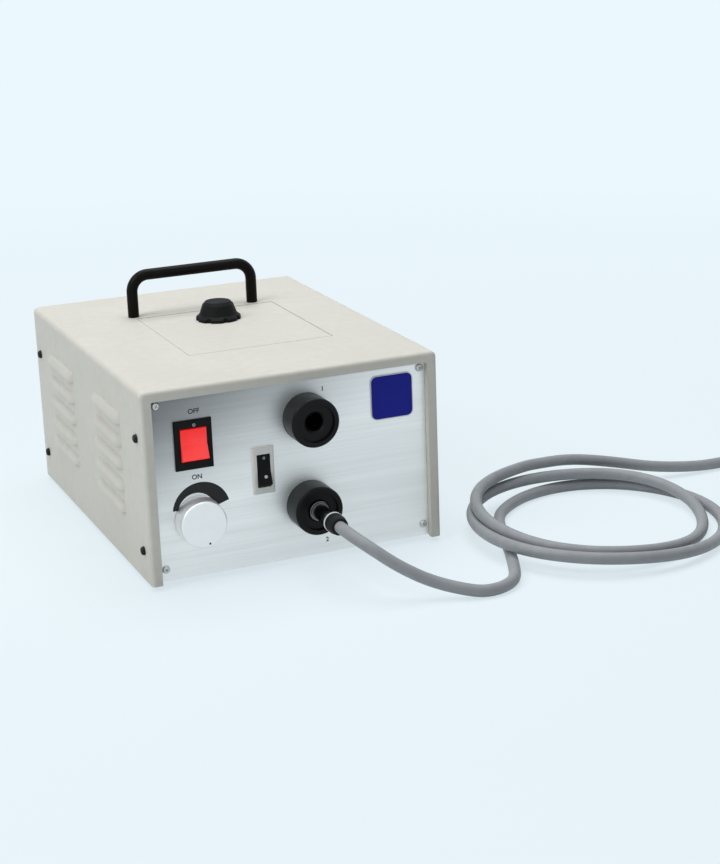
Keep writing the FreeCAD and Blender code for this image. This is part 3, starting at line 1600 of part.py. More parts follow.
def build_guide():
    """Plug in the lower port, the lead, the ring of turns, the tail and the end fitting."""
    radius = float(s.guide_radius)
    stations = coil_stations()
    lead_points = LEAD_ROUTE + [tuple(stations[0])]
    tail_points = [tuple(stations[-1])] + TAIL_ROUTE
    lead = corded("guide_lead", lead_points)
    tail = corded("guide_tail", tail_points)
    first = (stations[0] - Vector(*lead_points[-2])).normalize()
    last = (Vector(*tail_points[1]) - stations[-1]).normalize()
    headings = coil_headings(stations, first, last)
    edges = []
    for index in range(len(stations) - 1):
        edges += biarc(stations[index], headings[index], stations[index + 1], headings[index + 1])
    ring_wire = Part.Wire(edges)
    print("guide_coil least gap %.2f mm" % least_gap(ring_wire, 2 * radius))
    start = (Vector(*lead_points[1]) - Vector(*lead_points[0])).normalize()
    for name, wire, heading in (("guide_lead", lead, start), ("guide_coil", ring_wire, first),
                                ("guide_tail", tail, last)):
        solid = tube(wire, radius, heading)
        check_tube(name, solid, wire, radius)
        finish(name, feature(solid))
    build_plug()
    build_end_fitting()


def build_plug():
    """Polished ferrule in the port's bore, its body outside, and the cord's black collar."""
    face = s.port_stand - s.port_dish_depth + s.plug_lift
    tip = s.port_stand - s.plug_inside
    end = s.port_stand + s.plug_stand
    edge = s.plug_edge
    body = s.plug_body
    waist = body - s.plug_waist
    step = s.plug_step
    ring_end = face + s.plug_ring
    grip = ring_end + 4 * step
    outline = [(0.0, tip), (s.plug_radius - edge, tip), (s.plug_radius, tip + edge),
               (s.plug_radius, face), (body, face), (body, ring_end), (waist, ring_end + step),
               (waist, grip - step), (body, grip), (body, end - 2 * step), (waist, end),
               (0.0, end)]
    at = (s.port_side, s.panel_recess, s.port_low, FRONT)
    finish("guide_plug", turned("plug", outline, *at))
    collar_end = end + s.collar_length
    wide = s.collar_radius
    outline = [(0.0, end), (wide, end), (wide, end + s.collar_straight),
               (wide - s.collar_taper, collar_end), (0.0, collar_end)]
    finish("guide_collar", turned("collar", outline, *at))


def build_end_fitting():
    """Sleeve and bare ferrule that carry on in line with the tail's last run."""
    end = Vector(*TAIL_ROUTE[-1])
    heading = end - Vector(*TAIL_ROUTE[-2])
    heading.z = 0
    heading.normalize()
    sleeve = Part.makeCylinder(s.sleeve_radius, s.sleeve_length, end, heading)
    finish("guide_end_sleeve", feature(sleeve))
    far = end + heading * s.sleeve_length
    tip = Part.makeCylinder(s.ferrule_radius, s.ferrule_length, far, heading)
    finish("guide_end_ferrule", feature(tip))


def export_nodes():
    """Writes each sub-part after every object in the document has been checked."""
    doc.recompute()
    failed = [item.Name for item in doc.Objects
              if "Invalid" in item.State or "Error" in item.State]
    if failed:
        raise RuntimeError("objects failed: %s" % ", ".join(failed))
    for node in nodes:
        if node.Shape.isNull() or not node.Shape.isValid():
            raise RuntimeError("%s has no valid shape" % node.Label)
    os.makedirs("parts", exist_ok=True)
    for node in nodes:
        node.Shape.exportStep("parts/%s.step" % node.Label)
    print("%d nodes" % len(nodes))


build_cover()
build_chassis()
build_panel()
build_cover_screws()
build_feet()
build_handle()
build_hatch()
build_latch()
build_switch("power", "power_switch_frame", s.power_side, s.power_up, s.power_width,
             s.power_tall, s.power_rocker_width)
build_switch("selector", "selector_frame", s.selector_side, s.selector_up, s.selector_width,
             s.selector_tall, s.selector_rocker_width)
build_dial()
build_ports()
build_lamps()
build_transformer()
build_board()
build_fan()
build_inlet()
build_fuse()
build_guide()
export_nodes()
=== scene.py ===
"""Dresses the fiber optic illuminator and sets it in a plain pale studio."""

import logging
import math
from dataclasses import dataclass, field
from enum import Enum

import bmesh
import bpy
from mathutils import Matrix, Vector


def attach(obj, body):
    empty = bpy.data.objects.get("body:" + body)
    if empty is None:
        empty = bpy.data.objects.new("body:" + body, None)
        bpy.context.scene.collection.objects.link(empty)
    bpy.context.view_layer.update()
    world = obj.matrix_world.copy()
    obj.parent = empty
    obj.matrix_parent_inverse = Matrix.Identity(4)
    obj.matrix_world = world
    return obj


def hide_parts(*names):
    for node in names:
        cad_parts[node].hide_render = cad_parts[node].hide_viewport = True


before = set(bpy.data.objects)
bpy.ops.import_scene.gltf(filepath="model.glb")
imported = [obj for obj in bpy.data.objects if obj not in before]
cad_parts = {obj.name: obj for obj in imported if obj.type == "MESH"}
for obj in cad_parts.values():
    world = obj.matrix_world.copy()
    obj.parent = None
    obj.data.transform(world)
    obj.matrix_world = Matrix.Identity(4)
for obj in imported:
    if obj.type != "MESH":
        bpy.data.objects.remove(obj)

LOG = logging.getLogger("illuminator")
Colour = tuple[float, float, float]
Point = tuple[float, float, float]
Pair = tuple[float, float]
Socket = bpy.types.NodeSocket
Groups = dict[str, bpy.types.NodeTree]
MM = 0.001


# Shader helpers

class Shader:
    """A material, world or group being wired, one node at a time."""

    column_width = 180
    mix_low = 6
    mix_high = 7
    mix_result = 2

    def __init__(self, tree: bpy.types.NodeTree) -> None:
        """Keeps the tree and starts at its left edge.

        Args:
            tree: The node tree to fill.
        """
        self.tree = tree
        self.column = 0

    def fill(self, node: bpy.types.Node, inputs: dict[str | int, object]) -> None:
        """Gives a node's inputs sockets to follow, or numbers, vectors and colours to keep.

        Args:
            node: The node.
            inputs: What each input gets, by the input's name or number.
        """
        for name, value in inputs.items():
            target = node.inputs[name]
            if isinstance(value, bpy.types.NodeSocket):
                self.tree.links.new(value, target)
            else:
                target.default_value = (*value, 1.0) if target.type == "RGBA" else value

    def add(self, kind: str, inputs: dict[str | int, object] | None = None,
            **settings: object) -> bpy.types.Node:
        """Adds one node.

        Args:
            kind: The node's type name.
            inputs: What its inputs get.
            settings: Properties to set on it.

        Returns:
            The new node.
        """
        node = self.tree.nodes.new(kind)
        node.location = (self.column * self.column_width, 0)
        self.column += 1
        for name, value in settings.items():
            setattr(node, name, value)
        self.fill(node, inputs or {})
        return node

    def calc(self, operation: str, first: object, second: object) -> Socket:
        """Works a number out of two numbers or sockets."""
        return self.add("ShaderNodeMath", {0: first, 1: second}, operation=operation).outputs[0]

    def vectors(self, operation: str, first: object, second: object) -> bpy.types.Node:
        """Adds a node that works on two vectors or sockets."""
        return self.add("ShaderNodeVectorMath", {0: first, 1: second}, operation=operation)

    def noise(self, place: Socket, scale: object, detail: object = 2.0) -> Socket:
        """Soft noise of some scale and detail over a place."""
        inputs = {"Vector": place, "Scale": scale, "Detail": detail}
        return self.add("ShaderNodeTexNoise", inputs).outputs["Fac"]

    def shared(self, tree: bpy.types.NodeTree, place: Socket,
               **values: float) -> bpy.types.bpy_prop_collection:
        """Adds a shared group.

        Args:
            tree: The group.
            place: The place on the object, which the group reads.
            values: The group's other inputs, with _ for a space.

        Returns:
            The group's outputs.
        """
        named = {name.replace("_", " "): value for name, value in values.items()}
        return self.add("ShaderNodeGroup", {"Vector": place, **named}, node_tree=tree).outputs

    def mix(self, share: object, low: object, high: object, blend: str = "MIX") -> Socket:
        """Blends two colours.

        Args:
            share: Number or socket from 0 to 1.
            low: Colour or socket where the share is 0.
            high: Colour or socket that comes in as the share rises.
            blend: How the second colour comes in.

        Returns:
            The blended colour's socket.
        """
        inputs = {"Factor": share, self.mix_low: low, self.mix_high: high}
        node = self.add("ShaderNodeMix", inputs, data_type="RGBA", blend_type=blend)
        return node.outputs[self.mix_result]

    def span(self, value: Socket, low: float, high: float,
             out_low: float = 0.0, out_high: float = 1.0) -> Socket:
        """Stretches a value from one range to another, held at its ends.

        Args:
            value: Socket to stretch.
            low: Input that gives out_low.
            high: Input that gives out_high.
            out_low: Lowest output.
            out_high: Highest output.

        Returns:
            The stretched value's socket.
        """
        inputs = {"Value": value, "From Min": low, "From Max": high,
                  "To Min": out_low, "To Max": out_high}
        return self.add("ShaderNodeMapRange", inputs).outputs["Result"]


class SharedGroup(Shader):
    """A node group that several materials use, wired between its inputs and outputs."""

    def __init__(self, name: str, inputs: dict[str, float], *outputs: str) -> None:
        """Starts the group.

        Args:
            name: The group's name.
            inputs: Number inputs beside the Vector, and their default values.
            outputs: Names of its number outputs.
        """
        super().__init__(bpy.data.node_groups.new(name, "ShaderNodeTree"))
        sockets = self.tree.interface
        sockets.new_socket("Vector", in_out="INPUT", socket_type="NodeSocketVector")
        for label, value in inputs.items():
            socket = sockets.new_socket(label, in_out="INPUT", socket_type="NodeSocketFloat")
            socket.default_value = value
        for label in outputs:
            sockets.new_socket(label, in_out="OUTPUT", socket_type="NodeSocketFloat")
        self.entry = self.add("NodeGroupInput")
        self.exit = self.add("NodeGroupOutput")

    def given(self, label: str) -> Socket:
        """The value that a material gives this input."""
        return self.entry.outputs[label]

    def finish(self, **results: Socket) -> bpy.types.NodeTree:
        """Puts out the results by name and hands over the group's tree."""
        self.fill(self.exit, results)
        return self.tree


def grain_group() -> bpy.types.NodeTree:
    """Fine even grain, as height, for paint, plastic and cast surfaces.

    Returns:
        The group, with input Scale and output Height.
    """
    group = SharedGroup("fine_grain", {"Scale": 900.0}, "Height")
    return group.finish(Height=group.noise(group.given("Vector"), group.given("Scale")))


def handling_group() -> bpy.types.NodeTree:
    """Uneven traces of handling: soft smudges broken by finer specks.

    Returns:
        The group, with inputs Scale and Spread and output Mask.
    """
    group = SharedGroup("handling_marks", {"Scale": 14.0, "Spread": 0.5}, "Mask")
    smudges = group.noise(group.given("Vector"), group.given("Scale"), detail=4.0)
    specks = group.noise(group.given("Vector"), scale=160.0, detail=5.0)
    both = group.calc("MULTIPLY", smudges, specks)
    return group.finish(Mask=group.calc("MULTIPLY", both, group.given("Spread")))


def brushed_group() -> bpy.types.NodeTree:
    """Long fine scratches along X, as left by a brushing belt.

    Returns:
        The group, with input Density and outputs Streaks and Height.
    """
    group = SharedGroup("brushed_lines", {"Density": 900.0}, "Streaks", "Height")
    stretch = (0.012, 1.0, 1.0)
    place = group.vectors("MULTIPLY", group.given("Vector"), stretch).outputs[0]
    lines = group.noise(place, group.given("Density"), detail=3.0)
    bands = group.noise(place, scale=120.0)
    streaks = group.calc("MULTIPLY", group.calc("ADD", lines, bands), 0.5)
    return group.finish(Streaks=streaks, Height=lines)


def slant_group() -> bpy.types.NodeTree:
    """A smooth rise from 0 at a corner to 1 at some distance along a direction, the mask of a
    painted shade.

    Returns:
        The group, with the corner, the direction and the run as inputs and output Mask.
    """
    inputs = {"Corner X": 0.0, "Corner Y": 0.0, "Corner Z": 0.0,
              "Toward X": 0.0, "Toward Y": 0.0, "Toward Z": -1.0, "Run": 0.1}
    group = SharedGroup("painted_shade_slant", inputs, "Mask")
    corner, toward = [
        group.add("ShaderNodeCombineXYZ",
                  {axis: group.given("%s %s" % (label, axis)) for axis in "XYZ"}).outputs[0]
        for label in ("Corner", "Toward")]
    offset = group.vectors("SUBTRACT", group.given("Vector"), corner).outputs[0]
    along = group.vectors("DOT_PRODUCT", offset, toward).outputs["Value"]
    share = group.calc("DIVIDE", along, group.given("Run"))
    eased = group.add("ShaderNodeMapRange", {"Value": share}, interpolation_type="SMOOTHSTEP")
    return group.finish(Mask=eased.outputs["Result"])


# Finishes

class Texture(Enum):
    """The surface textures that a finish may carry."""

    GRAIN = "grain"
    BRUSHED = "brushed"


@dataclass(frozen=True)
class Finish:
    """One surface finish: colour, sheen, texture and traces of use."""

    name: str
    colour: Colour
    roughness: float = 0.5
    metallic: float = 0.0
    shade: float = 0.85
    texture: Texture = Texture.GRAIN
    texture_scale: float = 900.0
    relief: float = 0.05
    relief_depth: float = 0.0001
    marks: float = 0.12
    marks_span: Pair = (0.08, 0.2)
    streaks_span: Pair = (0.35, 0.65)
    coat: float = 0.0
    coat_roughness: float = 0.12
    glow: float = 0.0
    transmission: float = 0.0
    specular: float = 0.5

    def build(self, groups: Groups) -> bpy.types.Material:
        """Makes the material.

        Args:
            groups: The shared node groups by name.

        Returns:
            The finished material.
        """
        material = bpy.data.materials.new(self.name)
        material.use_nodes = True
        shader = Shader(material.node_tree)
        place = shader.add("ShaderNodeTexCoord").outputs["Object"]
        if self.texture is Texture.BRUSHED:
            lines = shader.shared(groups["brushed"], place, Density=self.texture_scale)
            mask = shader.span(lines["Streaks"], *self.streaks_span)
            height = lines["Height"]
        else:
            marks = shader.shared(groups["marks"], place)
            mask = shader.span(marks["Mask"], *self.marks_span)
            height = shader.shared(groups["grain"], place, Scale=self.texture_scale)["Height"]
        colour = self.tone(shader, mask, place, groups)
        worn = min(1.0, self.roughness + self.marks)
        bump = shader.add("ShaderNodeBump", {"Strength": self.relief, "Height": height,
                                             "Distance": self.relief_depth})
        shader.fill(material.node_tree.nodes["Principled BSDF"], {
            "Base Color": colour,
            "Roughness": shader.span(mask, 0.0, 1.0, worn, self.roughness),
            "Metallic": self.metallic,
            "Coat Weight": self.coat,
            "Coat Roughness": self.coat_roughness,
            "Transmission Weight": self.transmission,
            "Specular IOR Level": self.specular,
            "Normal": bump.outputs["Normal"],
            **({"Emission Color": colour, "Emission Strength": self.glow} if self.glow else {})})
        return material

    def tone(self, shader: Shader, mask: Socket, place: Socket, groups: Groups) -> Socket:
        """The colour, a little darker where the mask is low.

        Args:
            shader: The material being wired.
            mask: Where the finish keeps its full colour.
            place: The place on the object.
            groups: The shared node groups by name.

        Returns:
            The colour's socket.
        """
        dark = tuple(part * self.shade for part in self.colour)
        return shader.mix(mask, dark, self.colour)


@dataclass(frozen=True)
class PaintedShadeSlant(Finish):
    """A finish with painted shade: its colour darkens toward one corner, standing in for less
    light and dimmer reflection there.
    """

    corner: Point = (-0.1, -0.125, 0.131)
    toward: Point = (0.42, 0.0, -0.9)
    run: float = 0.1
    # Colour of the painted shade at the corner.
    painted_shade_colour: Colour = (0.2, 0.2, 0.21)

    def tone(self, shader: Shader, mask: Socket, place: Socket, groups: Groups) -> Socket:
        """The finish's colour, darkened near the corner as painted shade.

        Args:
            shader: The material being wired.
            mask: Where the finish keeps its full colour.
            place: The place on the object.
            groups: The shared node groups by name.

        Returns:
            The colour's socket.
        """
        ways = {"Run": self.run}
        for axis, origin, way in zip("XYZ", self.corner, self.toward):
            ways["Corner_" + axis] = origin
            ways["Toward_" + axis] = way
        slant = shader.shared(groups["slant"], place, **ways)["Mask"]
        plain = super().tone(shader, mask, place, groups)
        # Painted shade: the colour deepens toward the corner, where the mask is low.
        painted_shade = shader.mix(slant, self.painted_shade_colour, (1.0, 1.0, 1.0))
        return shader.mix(1.0, plain, painted_shade, blend="MULTIPLY")


@dataclass
class Finishes:
    """Every finish of the illuminator, built once."""

    made: dict[str, bpy.types.Material] = field(default_factory=dict)

    def __post_init__(self) -> None:
        """Builds the shared groups and the materials."""
        groups = {"grain": grain_group(), "marks": handling_group(),
                  "brushed": brushed_group(), "slant": slant_group()}
        for finish in FINISHES:
            self.made[finish.name] = finish.build(groups)

    def dress(self, node: str, name: str) -> None:
        """Gives a node of the frame a finish.

        Args:
            node: The node's name.
            name: The finish's name.
        """
        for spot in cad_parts[node].material_slots:
            spot.material = self.made[name]


FINISHES = [
    Finish("case_paint", (0.72, 0.70, 0.635), roughness=0.5, shade=0.95, texture_scale=1500.0,
           relief=0.25, relief_depth=0.00008, marks=0.1, specular=0.2),
    Finish("zinc_sheet", (0.62, 0.62, 0.60), roughness=0.38, metallic=0.9, texture_scale=300.0,
           relief=0.1),
    # Painted shade and dim reflection: the panel deepens toward its top left corner, below the
    # cover's front rim.
    PaintedShadeSlant("brushed_aluminium", (0.96, 0.955, 0.945), roughness=0.38, metallic=0.8,
                 shade=0.9, texture=Texture.BRUSHED, relief=0.18, relief_depth=0.00004,
                 marks=0.1),
    Finish("black_moulding", (0.008, 0.008, 0.008), roughness=0.45, texture_scale=2200.0,
           relief=0.3, relief_depth=0.00005, marks=0.2, specular=0.12),
    Finish("black_gloss", (0.005, 0.005, 0.005), roughness=0.28, texture_scale=700.0,
           relief=0.06, marks=0.12, specular=0.16),
    Finish("black_enamel", (0.006, 0.005, 0.004), roughness=0.3, texture_scale=600.0,
           relief=0.12, marks=0.12, specular=0.08),
    Finish("black_oxide", (0.010, 0.010, 0.010), roughness=0.4, marks=0.2, specular=0.2),
    Finish("screw_steel", (0.58, 0.58, 0.57), roughness=0.3, metallic=1.0, marks=0.15),
    # Painted shade: the red deepens toward the rocker's top left corner, where less light falls.
    PaintedShadeSlant("lit_red", (0.96, 0.05, 0.045), roughness=0.25, shade=0.9, glow=0.5,
                 relief=0.02, coat=0.15, corner=(-0.072, -0.128, 0.106),
                 toward=(0.35, 0.0, -0.94), run=0.022, painted_shade_colour=(0.94, 0.012, 0.01)),
    Finish("pale_moulding", (0.84, 0.84, 0.80), roughness=0.4, shade=0.97,
           texture_scale=1800.0, relief=0.15),
    Finish("knob_lacquer", (0.95, 0.945, 0.94), roughness=0.3, metallic=0.8, shade=0.96,
           relief=0.06, coat=0.1),
    Finish("rubber", (0.010, 0.010, 0.010), roughness=0.6, texture_scale=1600.0, relief=0.3,
           specular=0.2),
    Finish("clear_glass", (0.92, 0.96, 0.95), roughness=0.04, shade=0.99, relief=0.0,
           marks=0.02, transmission=0.95),
    Finish("dichroic_mirror", (0.74, 0.76, 0.82), roughness=0.08, metallic=1.0, relief=0.05),
    Finish("ceramic", (0.66, 0.62, 0.54), roughness=0.6, relief=0.2),
    Finish("core_steel", (0.10, 0.10, 0.11), roughness=0.45, metallic=0.6,
           texture=Texture.BRUSHED, relief=0.5),
    Finish("winding_tape", (0.55, 0.34, 0.05), roughness=0.35, shade=0.8, relief=0.1),
    Finish("green_board", (0.02, 0.14, 0.05), roughness=0.3, shade=0.75, relief=0.05),
    Finish("extruded_aluminium", (0.58, 0.58, 0.60), roughness=0.36, metallic=0.9),
    Finish("brass", (0.62, 0.45, 0.16), roughness=0.28, metallic=1.0),
    Finish("polished_chrome", (0.72, 0.72, 0.74), roughness=0.1, metallic=1.0, shade=0.9,
           marks=0.08, relief=0.02),
    # Painted reflection: chrome darkened to stand in for the dark port and surroundings that it
    # mirrors.
    Finish("chrome_painted_dark_reflection", (0.15, 0.15, 0.16), roughness=0.14, metallic=1.0, shade=0.9,
           marks=0.06, relief=0.02),
    Finish("guide_sheath", (0.33, 0.345, 0.365), roughness=0.42, shade=0.9,
           texture_scale=500.0, relief=0.1, marks=0.12, specular=0.35),
    Finish("black_ink", (0.02, 0.02, 0.022), roughness=0.5, relief=0.03, specular=0.3),
    Finish("pale_ink", (0.80, 0.81, 0.82), roughness=0.5, relief=0.03, specular=0.3),
    Finish("badge_blue", (0.004, 0.010, 0.34), roughness=0.3, shade=0.9, relief=0.04,
           specular=0.2),
]

NODE_FINISHES = {
    "case_paint": ["cover", "hatch_lid"],
    "zinc_sheet": ["chassis", "latch_cam", "lamp_bracket", "transformer_clamp"],
    "brushed_aluminium": ["front_panel"],
    "black_moulding": ["latch_knob", "power_switch_frame", "selector_rocker", "fan_frame",
                       "fan_rotor", "mains_inlet", "fuse_holder", "fuse_cap",
                       "board_components"],
    "black_gloss": ["port_socket_1", "port_socket_2"],
    "black_enamel": ["handle"],
    "black_oxide": ["cover_screws"],
    "screw_steel": ["panel_screws", "foot_screws", "handle_screws", "potentiometer", "pot_nut",
                    "transformer_screws", "fan_screws", "inlet_screws"],
    "lit_red": ["power_rocker"],
    "pale_moulding": ["selector_frame"],
    "knob_lacquer": ["intensity_knob"],
    "rubber": ["feet", "guide_collar", "guide_end_sleeve"],
    "clear_glass": ["heat_filters", "lamp_capsules"],
    "dichroic_mirror": ["lamp_1", "lamp_2"],
    "ceramic": ["lamp_sockets"],
    "core_steel": ["transformer_core"],
    "winding_tape": ["transformer_coil"],
    "green_board": ["control_board"],
    "extruded_aluminium": ["board_heatsink"],
    "brass": ["pot_shaft", "port_nuts", "board_standoffs"],
    "polished_chrome": ["fan_guard", "guide_plug", "guide_end_ferrule"],
    "guide_sheath": ["guide_lead", "guide_coil", "guide_tail"],
}


# Places and shapes

class Side(Enum):
    """The sides of the case that a piece may face."""

    FRONT = (0.0, -1.0, 0.0)
    REAR = (0.0, 1.0, 0.0)
    LEFT = (-1.0, 0.0, 0.0)
    RIGHT = (1.0, 0.0, 0.0)
    UNDER = (0.0, 0.0, -1.0)

    def facing(self, place: Point, turn: float = 0.0) -> Matrix:
        """Matrix that lays a shape on this side, its own Z outward.

        Args:
            place: Where the shape's origin goes, in metres.
            turn: Turn about its own Z, in degrees.

        Returns:
            The matrix.
        """
        out = Vector(self.value)
        if self is Side.UNDER:
            right = Vector((-1.0, 0.0, 0.0))
        else:
            right = Vector((0.0, 0.0, 1.0)).cross(out)
        basis = Matrix((right, out.cross(right), out)).transposed().to_4x4()
        spin = Matrix.Rotation(math.radians(turn), 4, "Z")
        return Matrix.Translation(Vector(place)) @ basis @ spin


CASE_SHIFT = -130.5
SHARP_DEGREES = 35.0


def at(x: float, y: float, z: float) -> Point:
    """A point given in millimetres from the case's middle, front edge and table, in metres."""
    return (x * MM, (y + CASE_SHIFT) * MM, z * MM)


def grid(across: tuple[float, ...], back: tuple[float, ...],
         up: tuple[float, ...]) -> list[Point]:
    """Every place that these widths, depths and heights make together, in metres."""
    return [at(x, y, z) for x in across for y in back for z in up]


def lay(shape: bmesh.types.BMesh, matrix: Matrix) -> bmesh.types.BMesh:
    """Moves a whole shape and hands it back."""
    bmesh.ops.transform(shape, matrix=matrix, verts=shape.verts)
    return shape


def only_verts(items: list[object]) -> list[bmesh.types.BMVert]:
    """The vertices among the items that an operator made."""
    return [item for item in items if isinstance(item, bmesh.types.BMVert)]


def loop_edges(verts: list[bmesh.types.BMVert]) -> list[bmesh.types.BMEdge]:
    """The edges that join these vertices to each other."""
    chosen = set(verts)
    return list({edge for vert in verts for edge in vert.link_edges
                 if edge.verts[0] in chosen and edge.verts[1] in chosen})


def draw_outwards(shape: bmesh.types.BMesh, edges: list[bmesh.types.BMEdge], scale: float,
                  drop: float) -> list[bmesh.types.BMEdge]:
    """Extrudes a round loop, widens it about the Z axis and lowers it.

    Args:
        shape: The shape being made.
        edges: The loop's edges.
        scale: How much wider the new loop is.
        drop: How far the new loop lies below, in millimetres.

    Returns:
        The new loop's edges.
    """
    verts = only_verts(bmesh.ops.extrude_edge_only(shape, edges=edges)["geom"])
    bmesh.ops.scale(shape, verts=verts, vec=(scale, scale, 1.0))
    bmesh.ops.translate(shape, verts=verts, vec=(0.0, 0.0, -drop * MM))
    return loop_edges(verts)


def raise_faces(shape: bmesh.types.BMesh, thick: float) -> list[object]:
    """Thickens a flat shape upwards.

    Args:
        shape: The flat shape.
        thick: Its thickness, in millimetres.

    Returns:
        The vertices, edges and faces of its new top.
    """
    grown = bmesh.ops.extrude_face_region(shape, geom=shape.faces[:])["geom"]
    bmesh.ops.translate(shape, verts=only_verts(grown), vec=(0.0, 0.0, thick * MM))
    return grown


def turned_shape(outline: list[Pair], steps: int = 48) -> bmesh.types.BMesh:
    """A solid of revolution about Z.

    Args:
        outline: Corners as (radius, height) in millimetres, from axis to axis.
        steps: How many steps go round.

    Returns:
        The shape.
    """
    shape = bmesh.new()
    verts = [shape.verts.new((radius * MM, 0.0, height * MM)) for radius, height in outline]
    edges = [shape.edges.new(pair) for pair in zip(verts, verts[1:])]
    bmesh.ops.spin(shape, geom=verts + edges, cent=(0, 0, 0), axis=(0, 0, 1),
                   angle=math.tau, steps=steps, use_merge=True)
    bmesh.ops.remove_doubles(shape, verts=shape.verts, dist=1e-6)
    return shape


def disc(radius: float, thick: float, steps: int = 32) -> bmesh.types.BMesh:
    """A thin round disc, in millimetres."""
    return turned_shape([(0.0, thick), (radius, thick), (radius, 0.0), (0.0, 0.0)], steps)


def flat_ring(inner: float, outer: float, thick: float, steps: int = 32) -> bmesh.types.BMesh:
    """A thin flat ring, in millimetres."""
    return turned_shape([(inner, 0.0), (outer, 0.0), (outer, thick), (inner, thick),
                         (inner, 0.0)], steps)


def joined(parts: list[bmesh.types.BMesh]) -> bmesh.types.BMesh:
    """Gathers several shapes into the first one and frees the others.

    Args:
        parts: The shapes.

    Returns:
        The first shape, which now holds them all.
    """
    whole = parts[0]
    for part in parts[1:]:
        passing = bpy.data.meshes.new("passing")
        part.to_mesh(passing)
        part.free()
        whole.from_mesh(passing)
        bpy.data.meshes.remove(passing)
    return whole


# Pieces of the illuminator

@dataclass
class Dressing:
    """Visible pieces of one sub-assembly, in the illuminator's finishes."""

    finishes: Finishes

    def save(self, shape: bmesh.types.BMesh, name: str, *materials: str, body: str = "case",
             smooth: bool = False) -> bpy.types.Object:
        """Turns a finished shape into a piece that rides on a body.

        Args:
            shape: The shape, in metres and in place.
            name: The piece's name.
            materials: Names of its finishes, in the order of the faces' indices.
            body: The body that it rides on.
            smooth: Whether its faces are shaded smooth.

        Returns:
            The piece.
        """
        bmesh.ops.recalc_face_normals(shape, faces=shape.faces)
        mesh = bpy.data.meshes.new(name)
        shape.to_mesh(mesh)
        shape.free()
        for material in materials:
            mesh.materials.append(self.finishes.made[material])
        if smooth:
            mesh.shade_smooth()
            mesh.set_sharp_from_angle(angle=math.radians(SHARP_DEGREES))
        piece = bpy.data.objects.new(name, mesh)
        bpy.context.collection.objects.link(piece)
        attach(piece, body)
        LOG.info("%s: %d faces", name, len(mesh.polygons))
        return piece


@dataclass
class CrossScrews(Dressing):
    """Pan-head screws with a cross recess, in place of plain ones."""

    node: str
    side: Side
    spots: list[Point]
    head: float = 2.75
    stand: float = 1.6
    shank: float = 1.45
    length: float = 7.0
    finish: str = "screw_steel"
    turns: tuple[float, ...] = (12.0, 63.0, 35.0, 80.0, 5.0, 50.0)
    flat_share: float = 0.66
    crown: tuple[Pair, ...] = ((1.24, 0.14), (1.12, 0.26))
    recess_reach: float = 0.62
    recess_half: float = 0.15
    recess_depth: float = 0.62
    recess_taper: float = 0.8
    steps: int = 28

    def head_shape(self) -> bmesh.types.BMesh:
        """One screw with its seat at the origin and its head along Z.

        Returns:
            The shape.
        """
        shape = bmesh.new()
        width = self.head * self.flat_share
        rim = loop_edges(bmesh.ops.create_circle(shape, segments=self.steps,
                                                 radius=width * MM)["verts"])
        long = width * self.recess_reach * MM
        thin = width * self.recess_half * MM
        corners = []
        for quarter in range(4):
            turn = Matrix.Rotation(math.pi / 2 * quarter, 3, "Z")
            for x, y in ((long, -thin), (long, thin), (thin, thin)):
                corners.append(shape.verts.new(turn @ Vector((x, y, 0.0))))
        cross = [shape.edges.new(pair) for pair in zip(corners, corners[1:] + corners[:1])]
        bmesh.ops.triangle_fill(shape, edges=rim + cross, use_beauty=True)
        low = only_verts(bmesh.ops.extrude_edge_only(shape, edges=cross)["geom"])
        bmesh.ops.translate(shape, verts=low, vec=(0, 0, -self.stand * self.recess_depth * MM))
        bmesh.ops.scale(shape, verts=low, vec=(self.recess_taper, self.recess_taper, 1.0))
        bmesh.ops.triangle_fill(shape, edges=loop_edges(low), use_beauty=True)
        edges = rim
        left = 1.0
        for widen, share in self.crown:
            edges = draw_outwards(shape, edges, widen, self.stand * share)
            width *= widen
            left -= share
        edges = draw_outwards(shape, edges, self.head / width, self.stand * left)
        edges = draw_outwards(shape, edges, self.shank / self.head, 0.0)
        edges = draw_outwards(shape, edges, 1.0, self.length)
        bmesh.ops.contextual_create(shape, geom=edges)
        bmesh.ops.translate(shape, verts=shape.verts, vec=(0, 0, self.stand * MM))
        return shape

    def build(self) -> None:
        """Makes every screw of the node as one piece."""
        parts = []
        for count, spot in enumerate(self.spots):
            side = self.side
            if side is Side.LEFT and spot[0] > 0:
                side = Side.RIGHT
            turn = self.turns[count % len(self.turns)]
            parts.append(lay(self.head_shape(), side.facing(spot, turn)))
        piece = self.save(joined(parts), self.node + "_crossed", self.finish, smooth=True)
        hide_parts(self.node)


